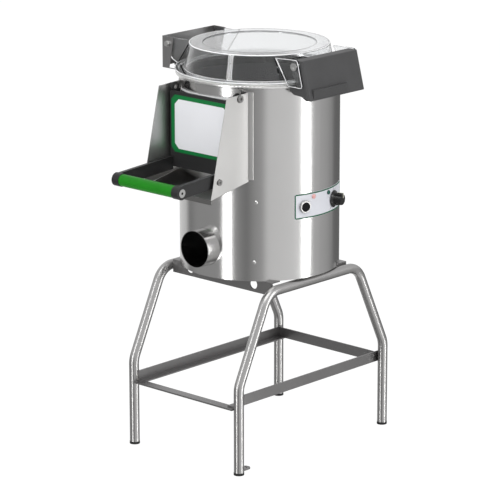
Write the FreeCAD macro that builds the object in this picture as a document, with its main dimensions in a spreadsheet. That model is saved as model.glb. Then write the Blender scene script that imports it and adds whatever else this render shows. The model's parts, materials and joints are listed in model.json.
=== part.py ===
import FreeCAD, Part
import math
import os
import re
import Sketcher

# Electric potato peeler on a tubular stand, in millimetres, +Z up.
# Sizes are taken about the drum's axis, with the floor at zero, the chute towards -Y
# and the control panel and lid hinge towards +X. The whole machine is then shifted so
# that its origin is at the middle of its footprint, on the floor.

doc = FreeCAD.newDocument("potato_peeler")
dims = doc.addObject("Spreadsheet::Sheet", "dims")
parts = []


# Stand
tube_radius = 12.5
tube_wall = 1.5
frame_inset = 20.5
leg_half_span = 270.8
shoulder_half_span = 166.0
leg_bend_height = 222.0
top_bar_height = 441.0
stand_bend_radius = 55.0
foot_cap_height = 6.0
foot_plug_depth = 22.0
foot_cap_overhang = 0.5
plug_clearance = 0.1
lug_reach = 22.5
lug_hole_radius = 5.0
lug_thickness = 3.0
lug_height = 10.5

# Lower frame and cross strips
rail_bottom = 167.5
rail_height = 26.5
rail_flange = 25.0
rail_thickness = 3.0
front_bar_thickness = 4.0
strip_rise = 4.0
strip_inset = 60.0
strip_drop = 33.0
strip_flange = 32.0
strip_thickness = 3.0
strip_hole_radius = 12.0
strip_hole_inset = 71.5
strip_hole_drop = 13.5
strip_bolt_radius = 4.0

# Drum
drum_radius = 200.0
drum_height = 481.5
drum_wall = 1.5
rim_overhang = 8.0
rim_height = 8.0
rim_inset = 4.0
gasket_height = 3.0
cover_thickness = 2.0
skin_gap = 0.2
part_gap = 0.3
running_gap = 0.05
upper_screw_angle = -50.0
lower_screw_angle = -51.2
upper_screw_rise = 199.5
lower_screw_rise = 48.5

# Door opening and chute
opening_half_width = 96.0
opening_rise = 270.5
opening_drop = 31.0
sheet = 1.5
chute_margin = 18.0
chute_drop = 9.0
chute_flange = 10.0
chute_root_drop = 15.0
chute_slope_drop = 28.0
chute_length = 97.0
chute_top_length = 40.0
stop_length = 67.6
stop_rise = 3.0
stop_screw_radius = 4.0

# Door
door_play = 9.0
door_foot_drop = 6.0
door_head_rise = 4.0
door_stand_off = 10.0
door_panel_thickness = 3.5
door_cheek_depth = 36.0
door_plate_gap = 0.6
door_pivot_inset = 6.0
door_pivot_rise = 10.0
door_ear_radius = 13.0
pivot_screw_radius = 5.0
label_side_margin = 5.0
label_foot_margin = 38.0
label_head_margin = 9.0
label_thickness = 0.8
label_corner = 12.0
arm_inset = 9.0
arm_thickness = 10.0
arm_drop = 7.0
arm_height = 32.0
arm_length = 183.0
handle_drop = 2.0
handle_boss_radius = 16.5
handle_boss_play = 3.5
handle_bar_radius = 11.0
grip_radius = 15.0
grip_gap = 1.0

# Outlet
outlet_radius = 47.0
outlet_wall = 1.5
outlet_rise = 74.5
outlet_length = 36.0
outlet_bend = 62.0
drain_inset = 82.0

# Lid, hinge housing and latch
lid_flange_overhang = 2.0
lid_flange_thickness = 3.5
lid_inset = 13.0
lid_taper = 13.0
lid_height = 66.5
lid_wall = 3.5
lid_ring_width = 33.0
lid_recess = 2.0
lid_bore_radius = 6.0
ear_thickness = 5.0
ear_play = 0.5
latch_play = 2.0
hinge_overhang = 11.0
hinge_drop = 19.5
housing_half_length = 101.7
housing_crest = 14.5
housing_shoulder = 20.6
housing_overhang = 56.5
housing_drop = 22.0
housing_rounding = 6.0
latch_overhang = 43.0
latch_half_length = 94.0
latch_drop = 6.5
latch_crest_drop = 3.5
latch_pivot_inset = 17.7
latch_pivot_drop = 21.8
latch_bolt_radius = 4.0
latch_flange_depth = 40.0
latch_toe_depth = 22.3

# Control panel
panel_start = -22.3
panel_sweep = 56.3
panel_rise = 151.0
panel_height = 62.5
panel_thickness = 1.2
button_angle = -14.4
button_rise = 30.2
button_block_depth = 36.0
bezel_radius = 15.5
bezel_proud = 6.5
bezel_neck_radius = 14.0
cap_radius = 11.7
cap_travel = 3.0
cap_proud = 2.0
pilot_radius = 5.5
pilot_rise = 51.9
red_pilot_angle = -6.5
green_pilot_angle = 9.5
timer_angle = 17.7
timer_rise = 29.5
timer_half_width = 17.0
timer_above = 12.0
timer_below = 30.0
timer_depth = 42.0
knob_skirt_radius = 21.5
knob_grip_radius = 15.0
knob_proud = 26.0
knob_skirt_height = 6.0
knob_shaft_radius = 3.0

# Drive
pan_rise = 210.5
pan_thickness = 3.0
pan_lip = 22.0
plate_play = 10.0
plate_rise = 26.0
plate_thickness = 8.0
wave_height = 15.0
wave_half_width = 42.0
hub_radius = 44.0
shaft_radius = 10.0
shaft_rise = 3.5
bearing_outer = 21.0
bearing_height = 12.0
housing_tube_radius = 28.0
housing_flange_radius = 52.0
housing_flange_height = 9.0
chassis_rise = 28.5
chassis_thickness = 4.0
pulley_radius = 84.0
pulley_rise = 5.5
pulley_height = 14.0
groove_pitch = 3.2
groove_depth = 1.8
small_pulley_radius = 22.0
motor_reach = 116.0
motor_radius = 54.0
motor_height = 158.0
motor_shaft_radius = 7.0
motor_shaft_length = 100.0
fin_height = 5.0
belt_thickness = 3.0
belt_gap = 0.3
lining_thickness = 3.0

# Places and reaches that follow from the sizes
derived = {
    "drum_bottom": "top_bar_height + tube_radius + strip_rise",
    "drum_top": "drum_bottom + drum_height",
    "frame_half_gap": "drum_radius - frame_inset",
    "rim_radius": "drum_radius + rim_overhang",
    "strip_half_gap": "drum_radius - strip_inset",
    "strip_hole_reach": "frame_half_gap - strip_hole_inset",
    "cover_bolt_reach": "drum_radius / 3",
    "upper_screw_height": "drum_bottom + upper_screw_rise",
    "lower_screw_height": "drum_bottom + lower_screw_rise",
    "opening_bottom": "drum_bottom + opening_rise",
    "opening_top": "drum_top - opening_drop",
    "chute_half_width": "opening_half_width + chute_margin",
    "chute_top": "drum_top - chute_drop",
    "chute_root_height": "opening_bottom - chute_root_drop",
    "chute_lip_height": "chute_root_height - chute_slope_drop",
    "chute_lip_reach": "drum_radius + chute_length",
    "chute_top_reach": "drum_radius + chute_top_length",
    "door_half_width": "chute_half_width - door_play",
    "door_bottom": "opening_bottom - door_foot_drop",
    "door_top": "opening_top + door_head_rise",
    "door_face_reach": "drum_radius + door_stand_off",
    "door_pivot_reach": "drum_radius - door_pivot_inset",
    "door_pivot_height": "opening_top + door_pivot_rise",
    "label_half_width": "door_half_width - label_side_margin",
    "label_bottom": "door_bottom + label_foot_margin",
    "label_top": "door_top - label_head_margin",
    "arm_inner": "door_half_width - arm_inset",
    "arm_bottom": "door_bottom - arm_drop",
    "handle_height": "door_bottom - handle_drop",
    "handle_reach": "door_face_reach + arm_length",
    "handle_boss_end": "chute_half_width - handle_boss_play",
    "stop_reach": "drum_radius + stop_length",
    "stop_height": "door_bottom + stop_rise",
    "outlet_height": "drum_bottom + outlet_rise",
    "outlet_reach": "drum_radius + outlet_length",
    "drain_reach": "drum_radius - drain_inset",
    "lid_flange_radius": "rim_radius + lid_flange_overhang",
    "lid_base_radius": "drum_radius - lid_inset",
    "lid_crown_radius": "lid_base_radius - lid_taper",
    "lid_recess_radius": "lid_crown_radius - lid_ring_width",
    "lid_top": "drum_top + rim_height + gasket_height + lid_height",
    "right_ear_inner": "housing_half_length + ear_play",
    "left_ear_outer": "latch_half_length - latch_play",
    "hinge_reach": "drum_radius + hinge_overhang",
    "hinge_height": "lid_top - hinge_drop",
    "housing_top_reach": "hinge_reach + housing_shoulder",
    "housing_top": "hinge_height + housing_crest",
    "housing_foot_reach": "drum_radius + housing_overhang",
    "housing_foot": "drum_top - housing_drop",
    "latch_reach": "drum_radius + latch_overhang",
    "latch_bottom": "drum_top - latch_drop",
    "latch_top": "lid_top - latch_crest_drop",
    "latch_pivot_reach": "latch_reach - latch_pivot_inset",
    "latch_pivot_height": "lid_top - latch_pivot_drop",
    "latch_flange_top": "latch_reach - latch_flange_depth",
    "latch_flange_foot": "latch_reach - latch_toe_depth",
    "panel_bottom": "drum_bottom + panel_rise",
    "button_height": "panel_bottom + button_rise",
    "pilot_height": "panel_bottom + pilot_rise",
    "timer_height": "panel_bottom + timer_rise",
    "pan_bottom": "drum_bottom + pan_rise",
    "plate_radius": "drum_radius - plate_play",
    "plate_bottom": "pan_bottom + plate_rise",
    "shaft_bottom": "drum_bottom + shaft_rise",
    "chassis_bottom": "drum_bottom + chassis_rise",
    "pulley_bottom": "drum_bottom + pulley_rise",
}
sizes = {name: number for name, number in globals().items() if isinstance(number, float)}
for row, (name, number) in enumerate(sizes.items(), start=1):
    dims.set("A%d" % row, name)
    dims.set("B%d" % row, str(number))
    dims.setAlias("B%d" % row, name)
doc.recompute()


def bound(text):
    """Turn the plain words of an expression into the sheet's cells and the worked-out places."""
    def cell(match):
        word = match.group(0)
        if word in sizes:
            return "dims." + word
        if word in derived:
            return "places." + word
        return word
    return re.sub(r"[a-z][a-z_]*", cell, str(text))


places = doc.addObject("App::VarSet", "places")
for name, formula in derived.items():
    places.addProperty("App::PropertyFloat", name, "Places")
    places.setExpression(name, bound(formula))
doc.recompute()


def value(name):
    """The number behind a size or a place, for what is worked out in this script."""
    return float(dims.get(name)) if name in sizes else float(getattr(places, name))


# Shorthand for heights and radii that several pieces share
drum_inside = "(drum_radius - drum_wall)"
rim_top = "(drum_top + rim_height)"
lid_seat = "(drum_top + rim_height + gasket_height)"
chute_inside = "(chute_half_width - sheet)"
skin_out = "(drum_radius + skin_gap)"
panel_face = "(drum_radius + skin_gap + panel_thickness)"
plate_top = "(plate_bottom + plate_thickness)"
chassis_top = "(chassis_bottom + chassis_thickness)"
arm_outer = "(arm_inner + arm_thickness)"
shift_x = "(latch_reach - housing_foot_reach) / 2"
shift_y = "(handle_reach + handle_boss_radius - leg_half_span - tube_radius - foot_cap_overhang) / 2"


def bind(item, prop, text):
    item.setExpression(prop, bound(text))


def place(item, label, turn="0", lift="0"):
    """Name a finished piece and put it in the machine's frame."""
    item.Label = label
    bind(item, "Placement.Base.x", shift_x)
    bind(item, "Placement.Base.y", shift_y)
    bind(item, "Placement.Base.z", lift)
    item.Placement.Rotation = FreeCAD.Rotation(FreeCAD.Vector(0, 0, 1), 0)
    bind(item, "Placement.Rotation.Angle", turn)
    parts.append(item)


# Sketches and solid features inside a body
def new_body(label, turn="0", lift="0"):
    body = doc.addObject("PartDesign::Body", label + "_body")
    place(body, label, turn, lift)
    return body


def draw(body, plane, away="0"):
    sketch = body.newObject("Sketcher::SketchObject", body.Name + "_sketch")
    origin_plane = [f for f in body.Origin.OriginFeatures if f.Role == plane + "_Plane"][0]
    sketch.AttachmentSupport = [(origin_plane, "")]
    sketch.MapMode = "FlatFace"
    bind(sketch, "AttachmentOffset.Base.z", away)
    return sketch


def fix(sketch, kind, geometry, point, text):
    if kind == "Radius":
        constraint = Sketcher.Constraint(kind, geometry, 1.0)
    else:
        constraint = Sketcher.Constraint(kind, -1, 1, geometry, point, 1.0)
    index = sketch.addConstraint(constraint)
    bind(sketch, "Constraints[%d]" % index, text)


def polygon(sketch, corners):
    count = len(corners)
    first = sketch.GeometryCount
    start = []
    for index in range(count):
        angle = 2 * math.pi * index / count
        start.append(FreeCAD.Vector(math.cos(angle), math.sin(angle), 0))
    for index in range(count):
        sketch.addGeometry(Part.LineSegment(start[index], start[(index + 1) % count]), False)
    for index in range(count):
        joined = first + (index + 1) % count
        sketch.addConstraint(Sketcher.Constraint("Coincident", first + index, 2, joined, 1))
    for index, (across, up) in enumerate(corners):
        fix(sketch, "DistanceX", first + index, 1, across)
        fix(sketch, "DistanceY", first + index, 1, up)


def circle(sketch, across, up, radius):
    ring = Part.Circle(FreeCAD.Vector(0, 1, 0), FreeCAD.Vector(0, 0, 1), 1.0)
    geometry = sketch.addGeometry(ring, False)
    fix(sketch, "Radius", geometry, 3, radius)
    fix(sketch, "DistanceX", geometry, 3, across)
    fix(sketch, "DistanceY", geometry, 3, up)


def rectangle(sketch, left, right, low, high):
    polygon(sketch, [(left, low), (right, low), (right, high), (left, high)])


def feature(body, kind, sketch):
    item = body.newObject("PartDesign::" + kind, body.Name + "_" + kind.lower())
    item.Profile = sketch
    return item


def pad(body, sketch, length, middle=False, back=False):
    item = feature(body, "Pad", sketch)
    bind(item, "Length", length)
    item.Midplane = middle
    item.Reversed = back
    return item


def pocket(body, sketch, length, middle=False, back=False):
    item = feature(body, "Pocket", sketch)
    bind(item, "Length", length)
    item.Midplane = middle
    item.Reversed = back
    return item


def revolve(body, sketch, axis="V_Axis", cut=False):
    item = feature(body, "Groove" if cut else "Revolution", sketch)
    item.ReferenceAxis = (sketch, [axis])
    item.Angle = 360
    return item


def pattern(body, original, count):
    item = body.newObject("PartDesign::PolarPattern", body.Name + "_pattern")
    item.Originals = [original]
    axis = [f for f in body.Origin.OriginFeatures if f.Role == "Z_Axis"][0]
    item.Axis = (axis, [""])
    item.Angle = 360
    item.Occurrences = count
    body.Tip = item
    return item


def soften(body, radius, wanted, kind="Fillet"):
    """Round or bevel the edges of the last feature whose middle passes the test."""
    doc.recompute()
    base = body.Tip
    chosen = []
    for index, edge in enumerate(base.Shape.Edges):
        middle = edge.valueAt((edge.FirstParameter + edge.LastParameter) / 2)
        if wanted(edge, middle):
            chosen.append("Edge%d" % (index + 1))
    item = body.newObject("PartDesign::" + kind, body.Name + "_" + kind.lower())
    item.Base = (base, chosen)
    bind(item, "Radius" if kind == "Fillet" else "Size", radius)
    return item


def turned(label, outline, turn="0", lift="0", lying=False):
    """A piece turned about the drum's axis, or about the radial X axis when lying."""
    body = new_body(label, turn, lift)
    sketch = draw(body, "XZ")
    polygon(sketch, outline)
    revolve(body, sketch, "H_Axis" if lying else "V_Axis")
    return body


# Plain primitives and booleans
def box(low_x, high_x, low_y, high_y, low_z, high_z):
    item = doc.addObject("Part::Box", "block")
    for side, low, high in (("x", low_x, high_x), ("y", low_y, high_y), ("z", low_z, high_z)):
        bind(item, "Placement.Base." + side, low)
        length = {"x": "Length", "y": "Width", "z": "Height"}[side]
        bind(item, length, "(%s) - (%s)" % (high, low))
    return item


turns = {
    "x": FreeCAD.Rotation(FreeCAD.Vector(0, 1, 0), 90),
    "-x": FreeCAD.Rotation(FreeCAD.Vector(0, 1, 0), -90),
    "y": FreeCAD.Rotation(FreeCAD.Vector(1, 0, 0), -90),
    "-y": FreeCAD.Rotation(FreeCAD.Vector(1, 0, 0), 90),
    "z": FreeCAD.Rotation(),
}


def rod(axis, radius, length, across, along, up):
    item = doc.addObject("Part::Cylinder", "rod")
    item.Placement = FreeCAD.Placement(FreeCAD.Vector(), turns[axis])
    bind(item, "Radius", radius)
    bind(item, "Height", length)
    bind(item, "Placement.Base.x", across)
    bind(item, "Placement.Base.y", along)
    bind(item, "Placement.Base.z", up)
    return item


def radial_rod(radius, inner, outer, angle, up):
    """A rod pointing out from the drum's axis at an angle."""
    item = doc.addObject("Part::Cylinder", "radial_rod")
    around = FreeCAD.Rotation(FreeCAD.Vector(0, 0, 1), value(angle))
    item.Placement = FreeCAD.Placement(FreeCAD.Vector(), around * turns["x"])
    bind(item, "Radius", radius)
    bind(item, "Height", "(%s) - (%s)" % (outer, inner))
    bind(item, "Placement.Base.x", "(%s) * cos(%s * 1deg)" % (inner, angle))
    bind(item, "Placement.Base.y", "(%s) * sin(%s * 1deg)" % (inner, angle))
    bind(item, "Placement.Base.z", up)
    return item


def hexagon(axis, radius, length, across, along, up):
    item = doc.addObject("Part::Prism", "nut_blank")
    item.Polygon = 6
    item.Placement = FreeCAD.Placement(FreeCAD.Vector(), turns[axis])
    bind(item, "Circumradius", radius)
    bind(item, "Height", length)
    bind(item, "Placement.Base.x", across)
    bind(item, "Placement.Base.y", along)
    bind(item, "Placement.Base.z", up)
    return item


def join(items):
    if len(items) == 1:
        return items[0]
    item = doc.addObject("Part::MultiFuse", "joined")
    item.Shapes = items
    return item


def cut(base, tools):
    item = doc.addObject("Part::Cut", "cut")
    item.Base = base
    item.Tool = join(tools)
    return item


def overlap(first, second):
    item = doc.addObject("Part::MultiCommon", "overlap")
    item.Shapes = [first, second]
    return item


def group(label, items):
    """Several equal pieces that share one node as separate solids."""
    item = doc.addObject("Part::Compound", "group")
    item.Links = items
    place(item, label)
    return item


# Bent tubes
def rounded_path(points, radius):
    edges = []
    last = points[0]
    for index in range(1, len(points) - 1):
        corner = points[index]
        inward = (points[index - 1] - corner).normalize()
        outward = (points[index + 1] - corner).normalize()
        half = inward.getAngle(outward) / 2
        back = radius / math.tan(half)
        start = corner + inward * back
        end = corner + outward * back
        bisector = (inward + outward).normalize()
        middle = corner + bisector * (radius / math.sin(half) - radius)
        edges.append(Part.LineSegment(last, start).toShape())
        edges.append(Part.Arc(start, middle, end).toShape())
        last = end
    edges.append(Part.LineSegment(last, points[-1]).toShape())
    return Part.Wire(edges)


def swept_rod(path, radius):
    start = path.OrderedVertexes[0].Point
    direction = path.OrderedEdges[0].tangentAt(path.OrderedEdges[0].FirstParameter)
    ring = Part.Wire(Part.makeCircle(radius, start, direction))
    return path.makePipeShell([ring], True, True)


def bent_tube(label, points, bend, radius, wall):
    path = rounded_path(points, bend)
    shape = swept_rod(path, radius).cut(swept_rod(path, radius - wall))
    item = doc.addObject("Part::Feature", label + "_tube")
    item.Shape = shape.Solids[0]
    place(item, label)
    return item


# Stand frames: one bent tube on each side
def stand_frame(label, side):
    x = side * value("frame_half_gap")
    leg = value("leg_half_span")
    shoulder = value("shoulder_half_span")
    foot = value("foot_cap_height")
    bend = value("leg_bend_height")
    top = value("top_bar_height")
    half = [(-leg, foot), (-leg, bend), (-shoulder, top)]
    run = half + [(-y, z) for y, z in reversed(half)]
    points = [FreeCAD.Vector(x, y, z) for y, z in run]
    bent_tube(label, points, value("stand_bend_radius"), value("tube_radius"), value("tube_wall"))


stand_frame("stand_frame_right", 1)
stand_frame("stand_frame_left", -1)

corners = [(i, j) for i in (-1, 1) for j in (-1, 1)]
plugs = []
for i, j in corners:
    x = "%d * frame_half_gap" % i
    y = "%d * leg_half_span" % j
    cap = rod("z", "tube_radius + foot_cap_overhang", "foot_cap_height", x, y, "0")
    stem = rod("z", "tube_radius - tube_wall - plug_clearance", "foot_plug_depth", x, y, "foot_cap_height")
    plugs.append(join([cap, stem]))
group("foot_plugs", plugs)

# Floor lugs: a tab with an anchor hole, welded to one front and one rear leg
lugs = []
for i, j in ((1, -1), (-1, 1)):
    x = "%d * frame_half_gap" % i
    end = "%d * (leg_half_span - lug_reach)" % j
    near = "%d * leg_half_span" % j
    low, high = (near, end) if j < 0 else (end, near)
    bar = box(x + " - tube_radius", x + " + tube_radius", low, high, "lug_height", "lug_height + lug_thickness")
    nose = rod("z", "tube_radius", "lug_thickness", x, end, "lug_height")
    leg = rod("z", "tube_radius", "leg_bend_height", x, near, "0")
    hole = rod("z", "lug_hole_radius", "leg_bend_height", x, end, "0")
    lugs.append(cut(join([bar, nose]), [leg, hole]))
group("floor_lugs", lugs)

# Lower frame: angle rails at the sides, an upright bar behind and a flat bar in front
rail_out = "(frame_half_gap - tube_radius)"
rail_end = "(leg_half_span - tube_radius)"
for label, side in (("lower_rail_right", 1), ("lower_rail_left", -1)):
    body = new_body(label)
    sketch = draw(body, "XZ")
    face = "%d * %s" % (side, rail_out)
    web = "%d * (%s - rail_thickness)" % (side, rail_out)
    toe = "%d * (%s - rail_flange)" % (side, rail_out)
    step = "rail_bottom + rail_thickness"
    top = "rail_bottom + rail_height"
    outline = [(face, "rail_bottom"), (face, top), (web, top), (web, step), (toe, step), (toe, "rail_bottom")]
    polygon(sketch, outline)
    pad(body, sketch, "2 * leg_half_span", middle=True)

body = new_body("rear_bar")
sketch = draw(body, "XZ", "-" + rail_end)
rectangle(sketch, "-" + rail_out, rail_out, "rail_bottom", "rail_bottom + rail_height")
pad(body, sketch, "rail_thickness")
rear_slots = draw(body, "XZ", "-" + rail_end)
for side in (-1, 1):
    notch = "%d * (%s - rail_flange)" % (side, rail_out)
    edge = "%d * (%s + 1)" % (side, rail_out)
    rectangle(rear_slots, notch, edge, "rail_bottom - 1", "rail_bottom + rail_height + 1")
pocket(body, rear_slots, "4 * rail_thickness", middle=True)

body = new_body("front_bar")
sketch = draw(body, "XY", "rail_bottom - front_bar_thickness")
rectangle(sketch, "-" + rail_out, rail_out, "-leg_half_span - tube_radius", "-" + rail_end)
pad(body, sketch, "front_bar_thickness")

# Cross strips: folded sheet between the two frames, with the drum on their flanges
for label, side in (("front_cross_strip", -1), ("rear_cross_strip", 1)):
    body = new_body(label)
    sketch = draw(body, "YZ")
    face = "%d * strip_half_gap" % side
    web = "%d * (strip_half_gap - strip_thickness)" % side
    toe = "%d * (strip_half_gap - strip_flange)" % side
    low = "drum_bottom - strip_drop"
    under = "drum_bottom - strip_thickness"
    outline = [(face, low), (face, "drum_bottom"), (toe, "drum_bottom"), (toe, under), (web, under), (web, low)]
    polygon(sketch, outline)
    pad(body, sketch, "2 * " + rail_out, middle=True)
    holes = draw(body, "XZ", "%d * (strip_half_gap - strip_thickness / 2)" % -side)
    for end in (-1, 1):
        circle(holes, "%d * strip_hole_reach" % end, "drum_bottom - strip_hole_drop", "strip_hole_radius")
    pocket(body, holes, "4 * strip_thickness", middle=True)
    bolt_holes = draw(body, "XY", "drum_bottom - strip_thickness / 2")
    for end in (-1, 1):
        circle(bolt_holes, "%d * cover_bolt_reach" % end, "%d * (strip_half_gap - strip_flange / 2)" % side,
               "strip_bolt_radius + part_gap")
    pocket(body, bolt_holes, "4 * strip_thickness", middle=True)

# Bottom cover, bolted through the strips
body = new_body("bottom_cover")
sketch = draw(body, "XY", "drum_bottom")
circle(sketch, "0", "0", drum_inside + " - part_gap")
for i, j in corners:
    circle(sketch, "%d * cover_bolt_reach" % i, "%d * (strip_half_gap - strip_flange / 2)" % j,
           "strip_bolt_radius + part_gap")
pad(body, sketch, "cover_thickness")

bolts = []
for i, j in corners:
    x = "%d * cover_bolt_reach" % i
    y = "%d * (strip_half_gap - strip_flange / 2)" % j
    low = "drum_bottom - strip_thickness - 5"
    head = hexagon("z", "strip_bolt_radius * 1.8", "5", x, y, low)
    stem = rod("z", "strip_bolt_radius", "strip_thickness + cover_thickness + 7", x, y, low)
    bolts.append(join([head, stem]))
group("cover_bolts", bolts)

# Drum shell with its discharge opening, outlet hole and holes for the controls
shell = doc.addObject("Part::Cut", "drum_blank")
shell.Base = rod("z", "drum_radius", "drum_top - drum_bottom", "0", "0", "drum_bottom")
shell.Tool = rod("z", drum_inside, "drum_top - drum_bottom", "0", "0", "drum_bottom")
openings = [
    box("-opening_half_width", "opening_half_width", "-drum_radius - 5", "-drum_radius / 2",
        "opening_bottom", "opening_top"),
    rod("-y", "outlet_radius + part_gap", "drum_radius", "0", "-drum_radius / 2", "outlet_height"),
    radial_rod("bezel_neck_radius + skin_gap", "drum_radius / 2", "drum_radius + 5", "button_angle", "button_height"),
    radial_rod("pilot_radius - 1", "drum_radius / 2", "drum_radius + 5", "red_pilot_angle", "pilot_height"),
    radial_rod("pilot_radius - 1", "drum_radius / 2", "drum_radius + 5", "green_pilot_angle", "pilot_height"),
    radial_rod("knob_shaft_radius + 1", "drum_radius / 2", "drum_radius + 5", "timer_angle", "timer_height"),
]
place(cut(shell, openings), "drum_shell")

# Rim: a rolled ring on the drum's top edge, and the gasket that the lid closes on
ring_in = drum_inside
rim = turned("rim_ring", [
    (ring_in, "drum_top"), ("rim_radius", "drum_top"), ("rim_radius", rim_top), (ring_in, rim_top)])
soften(rim, "2.5", lambda edge, middle: middle.Length > 0 and edge.BoundBox.XMax > value("rim_radius") - 1)
turned("lid_gasket", [
    (ring_in, rim_top), ("rim_radius - 1", rim_top), ("rim_radius - 1", lid_seat),
    (ring_in + " + rim_inset", lid_seat)])

# Lid: one clear moulding with its ears
lid_top_side = "(lid_seat_level + lid_flange_thickness)".replace("lid_seat_level", lid_seat)
recess_level = "(lid_top - lid_recess)"
lid_dome = doc.addObject("PartDesign::Body", "lid_dome")
sketch = draw(lid_dome, "XZ")
polygon(sketch, [
    ("0", recess_level), ("lid_recess_radius", recess_level), ("lid_recess_radius", "lid_top"),
    ("lid_crown_radius", "lid_top"), ("lid_base_radius", lid_top_side),
    ("lid_flange_radius", lid_top_side), ("lid_flange_radius", lid_seat),
    ("lid_base_radius - lid_wall", lid_seat), ("lid_crown_radius - lid_wall", "lid_top - lid_wall"),
    ("lid_recess_radius - lid_wall", "lid_top - lid_wall"),
    ("lid_recess_radius - lid_wall", recess_level + " - lid_wall"), ("0", recess_level + " - lid_wall")])
revolve(lid_dome, sketch)
soften(lid_dome, "4", lambda edge, middle: abs(edge.BoundBox.XMax - value("lid_crown_radius")) < 0.1
       and abs(middle.z - value("lid_top")) < 0.1)


def ear(outline, inner, pivot_x, pivot_z, bore, rounding):
    """A pair of ears drawn in the XZ plane, with the pivot bore through both."""
    blades = []
    for side in (-1, 1):
        body = doc.addObject("PartDesign::Body", "ear")
        sketch = draw(body, "XZ", "%d * (%s)" % (side, inner))
        polygon(sketch, outline)
        pad(body, sketch, "ear_thickness", back=side < 0)
        soften(body, rounding, lambda edge, middle: abs(edge.BoundBox.XLength) < 0.01
               and abs(edge.BoundBox.ZLength) < 0.01 and abs(middle.x) > value("lid_flange_radius"))
        hole = draw(body, "XZ")
        circle(hole, pivot_x, pivot_z, bore)
        pocket(body, hole, "4 * drum_radius", middle=True)
        blades.append(body)
    return blades


right_ears = ear([
    ("lid_crown_radius - 24", "lid_top - 6"), ("hinge_reach + 9", "lid_top - 3"),
    ("hinge_reach + 26", "hinge_height - 50"), ("hinge_reach - 19", "hinge_height - 50")],
    "right_ear_inner", "hinge_reach", "hinge_height", "lid_bore_radius + running_gap", "7")
left_ears = ear([
    ("-lid_crown_radius + 24", "lid_top - 5"), ("-latch_pivot_reach + 3", "lid_top - 5"),
    ("-latch_pivot_reach - 11", "latch_pivot_height + 8"), ("-latch_pivot_reach - 11", "latch_pivot_height - 9"),
    ("-lid_flange_radius - 1", lid_top_side + " + 4"), ("-lid_flange_radius + 16", lid_seat)],
    "left_ear_outer - ear_thickness", "-latch_pivot_reach", "latch_pivot_height", "latch_bolt_radius + part_gap", "3")
ears_outside = cut(join(right_ears + left_ears), [
    rod("z", "lid_base_radius - lid_wall", lid_top_side + " - " + lid_seat, "0", "0", lid_seat)])
cone = doc.addObject("Part::Cone", "lid_inside")
bind(cone, "Radius1", "lid_base_radius - lid_wall / 2")
bind(cone, "Radius2", "lid_crown_radius - lid_wall / 2")
bind(cone, "Height", "lid_top - " + lid_seat)
bind(cone, "Placement.Base.z", lid_seat)
place(join([lid_dome, cut(ears_outside, [cone])]), "lid")

# Hinge housing: a moulded block that stands out from the drum and carries the lid's hinge
housing = doc.addObject("PartDesign::Body", "housing_blank")
sketch = draw(housing, "XZ")
polygon(sketch, [
    ("drum_radius - 8", "drum_top - 4"), ("drum_radius + 5", "drum_top - 12"),
    ("drum_radius + 24", "drum_top - 13"), ("housing_foot_reach - 19", "housing_foot"),
    ("housing_foot_reach", "housing_foot"), ("housing_top_reach", "housing_top"),
    ("hinge_reach - 8.5", "housing_top"), ("hinge_reach - 8.5", "hinge_height - 24"),
    ("hinge_reach + 2", "hinge_height - 36"), ("hinge_reach + 2", rim_top),
    ("drum_radius - 8", rim_top)])
pad(housing, sketch, "2 * housing_half_length", middle=True)
soften(housing, "housing_rounding", lambda edge, middle: middle.x > value("housing_top_reach") - 1
       and middle.z > value("housing_foot") + 1)
pad_sketch = draw(housing, "YZ", "housing_foot_reach - 19")
rectangle(pad_sketch, "-housing_half_length * 0.85", "housing_half_length * 0.35",
          "housing_foot + 4", "housing_foot + 26")
pad(housing, pad_sketch, "19")
housing_cut = cut(housing, [
    rod("z", skin_out, "drum_height", "0", "0", "drum_top - drum_height / 2"),
    rod("z", "rim_radius + part_gap", "rim_height + gasket_height + 20", "0", "0", "drum_top - part_gap"),
    rod("y", "lid_bore_radius + skin_gap", "20", "hinge_reach", "housing_half_length - 16", "hinge_height"),
    rod("-y", "lid_bore_radius + skin_gap", "20", "hinge_reach", "-housing_half_length + 16", "hinge_height")])
place(housing_cut, "hinge_housing")

screws = []
for side, axis in ((-1, "-y"), (1, "y")):
    ear_face = "(right_ear_inner + ear_thickness + part_gap)"
    stem = rod(axis, "lid_bore_radius", ear_face + " - housing_half_length + 14", "hinge_reach",
               "%d * (housing_half_length - 14)" % side, "hinge_height")
    head = rod(axis, "lid_bore_radius + 4", "3.5", "hinge_reach", "%d * %s" % (side, ear_face), "hinge_height")
    socket = hexagon(axis, "4", "5", "hinge_reach", "%d * (%s + 1.2)" % (side, ear_face), "hinge_height")
    screws.append(cut(join([stem, head]), [socket]))
group("hinge_screws", screws)

# Latch: a folded plate that swings on the lid's left ears and closes at the rim
latch_blank = doc.addObject("PartDesign::Body", "latch_blank")
sketch = draw(latch_blank, "XZ")
back_face = "-latch_reach"
front_face = "-latch_reach + sheet"
polygon(sketch, [
    (back_face, "latch_bottom"), (back_face, "latch_top"), (front_face, "latch_top"),
    (front_face, "latch_bottom + sheet"), ("-drum_radius", "latch_bottom + sheet"),
    ("-drum_radius", "latch_bottom")])
pad(latch_blank, sketch, "2 * latch_half_length", middle=True)
latch_pieces = [latch_blank]
for side in (-1, 1):
    flange = doc.addObject("PartDesign::Body", "latch_flange")
    sketch = draw(flange, "XZ", "%d * (latch_half_length)" % side)
    polygon(sketch, [
        (back_face, "latch_bottom"), (back_face, "latch_top"), ("-latch_flange_top", "latch_top"),
        ("-latch_flange_foot", "latch_bottom")])
    pad(flange, sketch, "sheet", back=side > 0)
    latch_pieces.append(flange)
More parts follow.
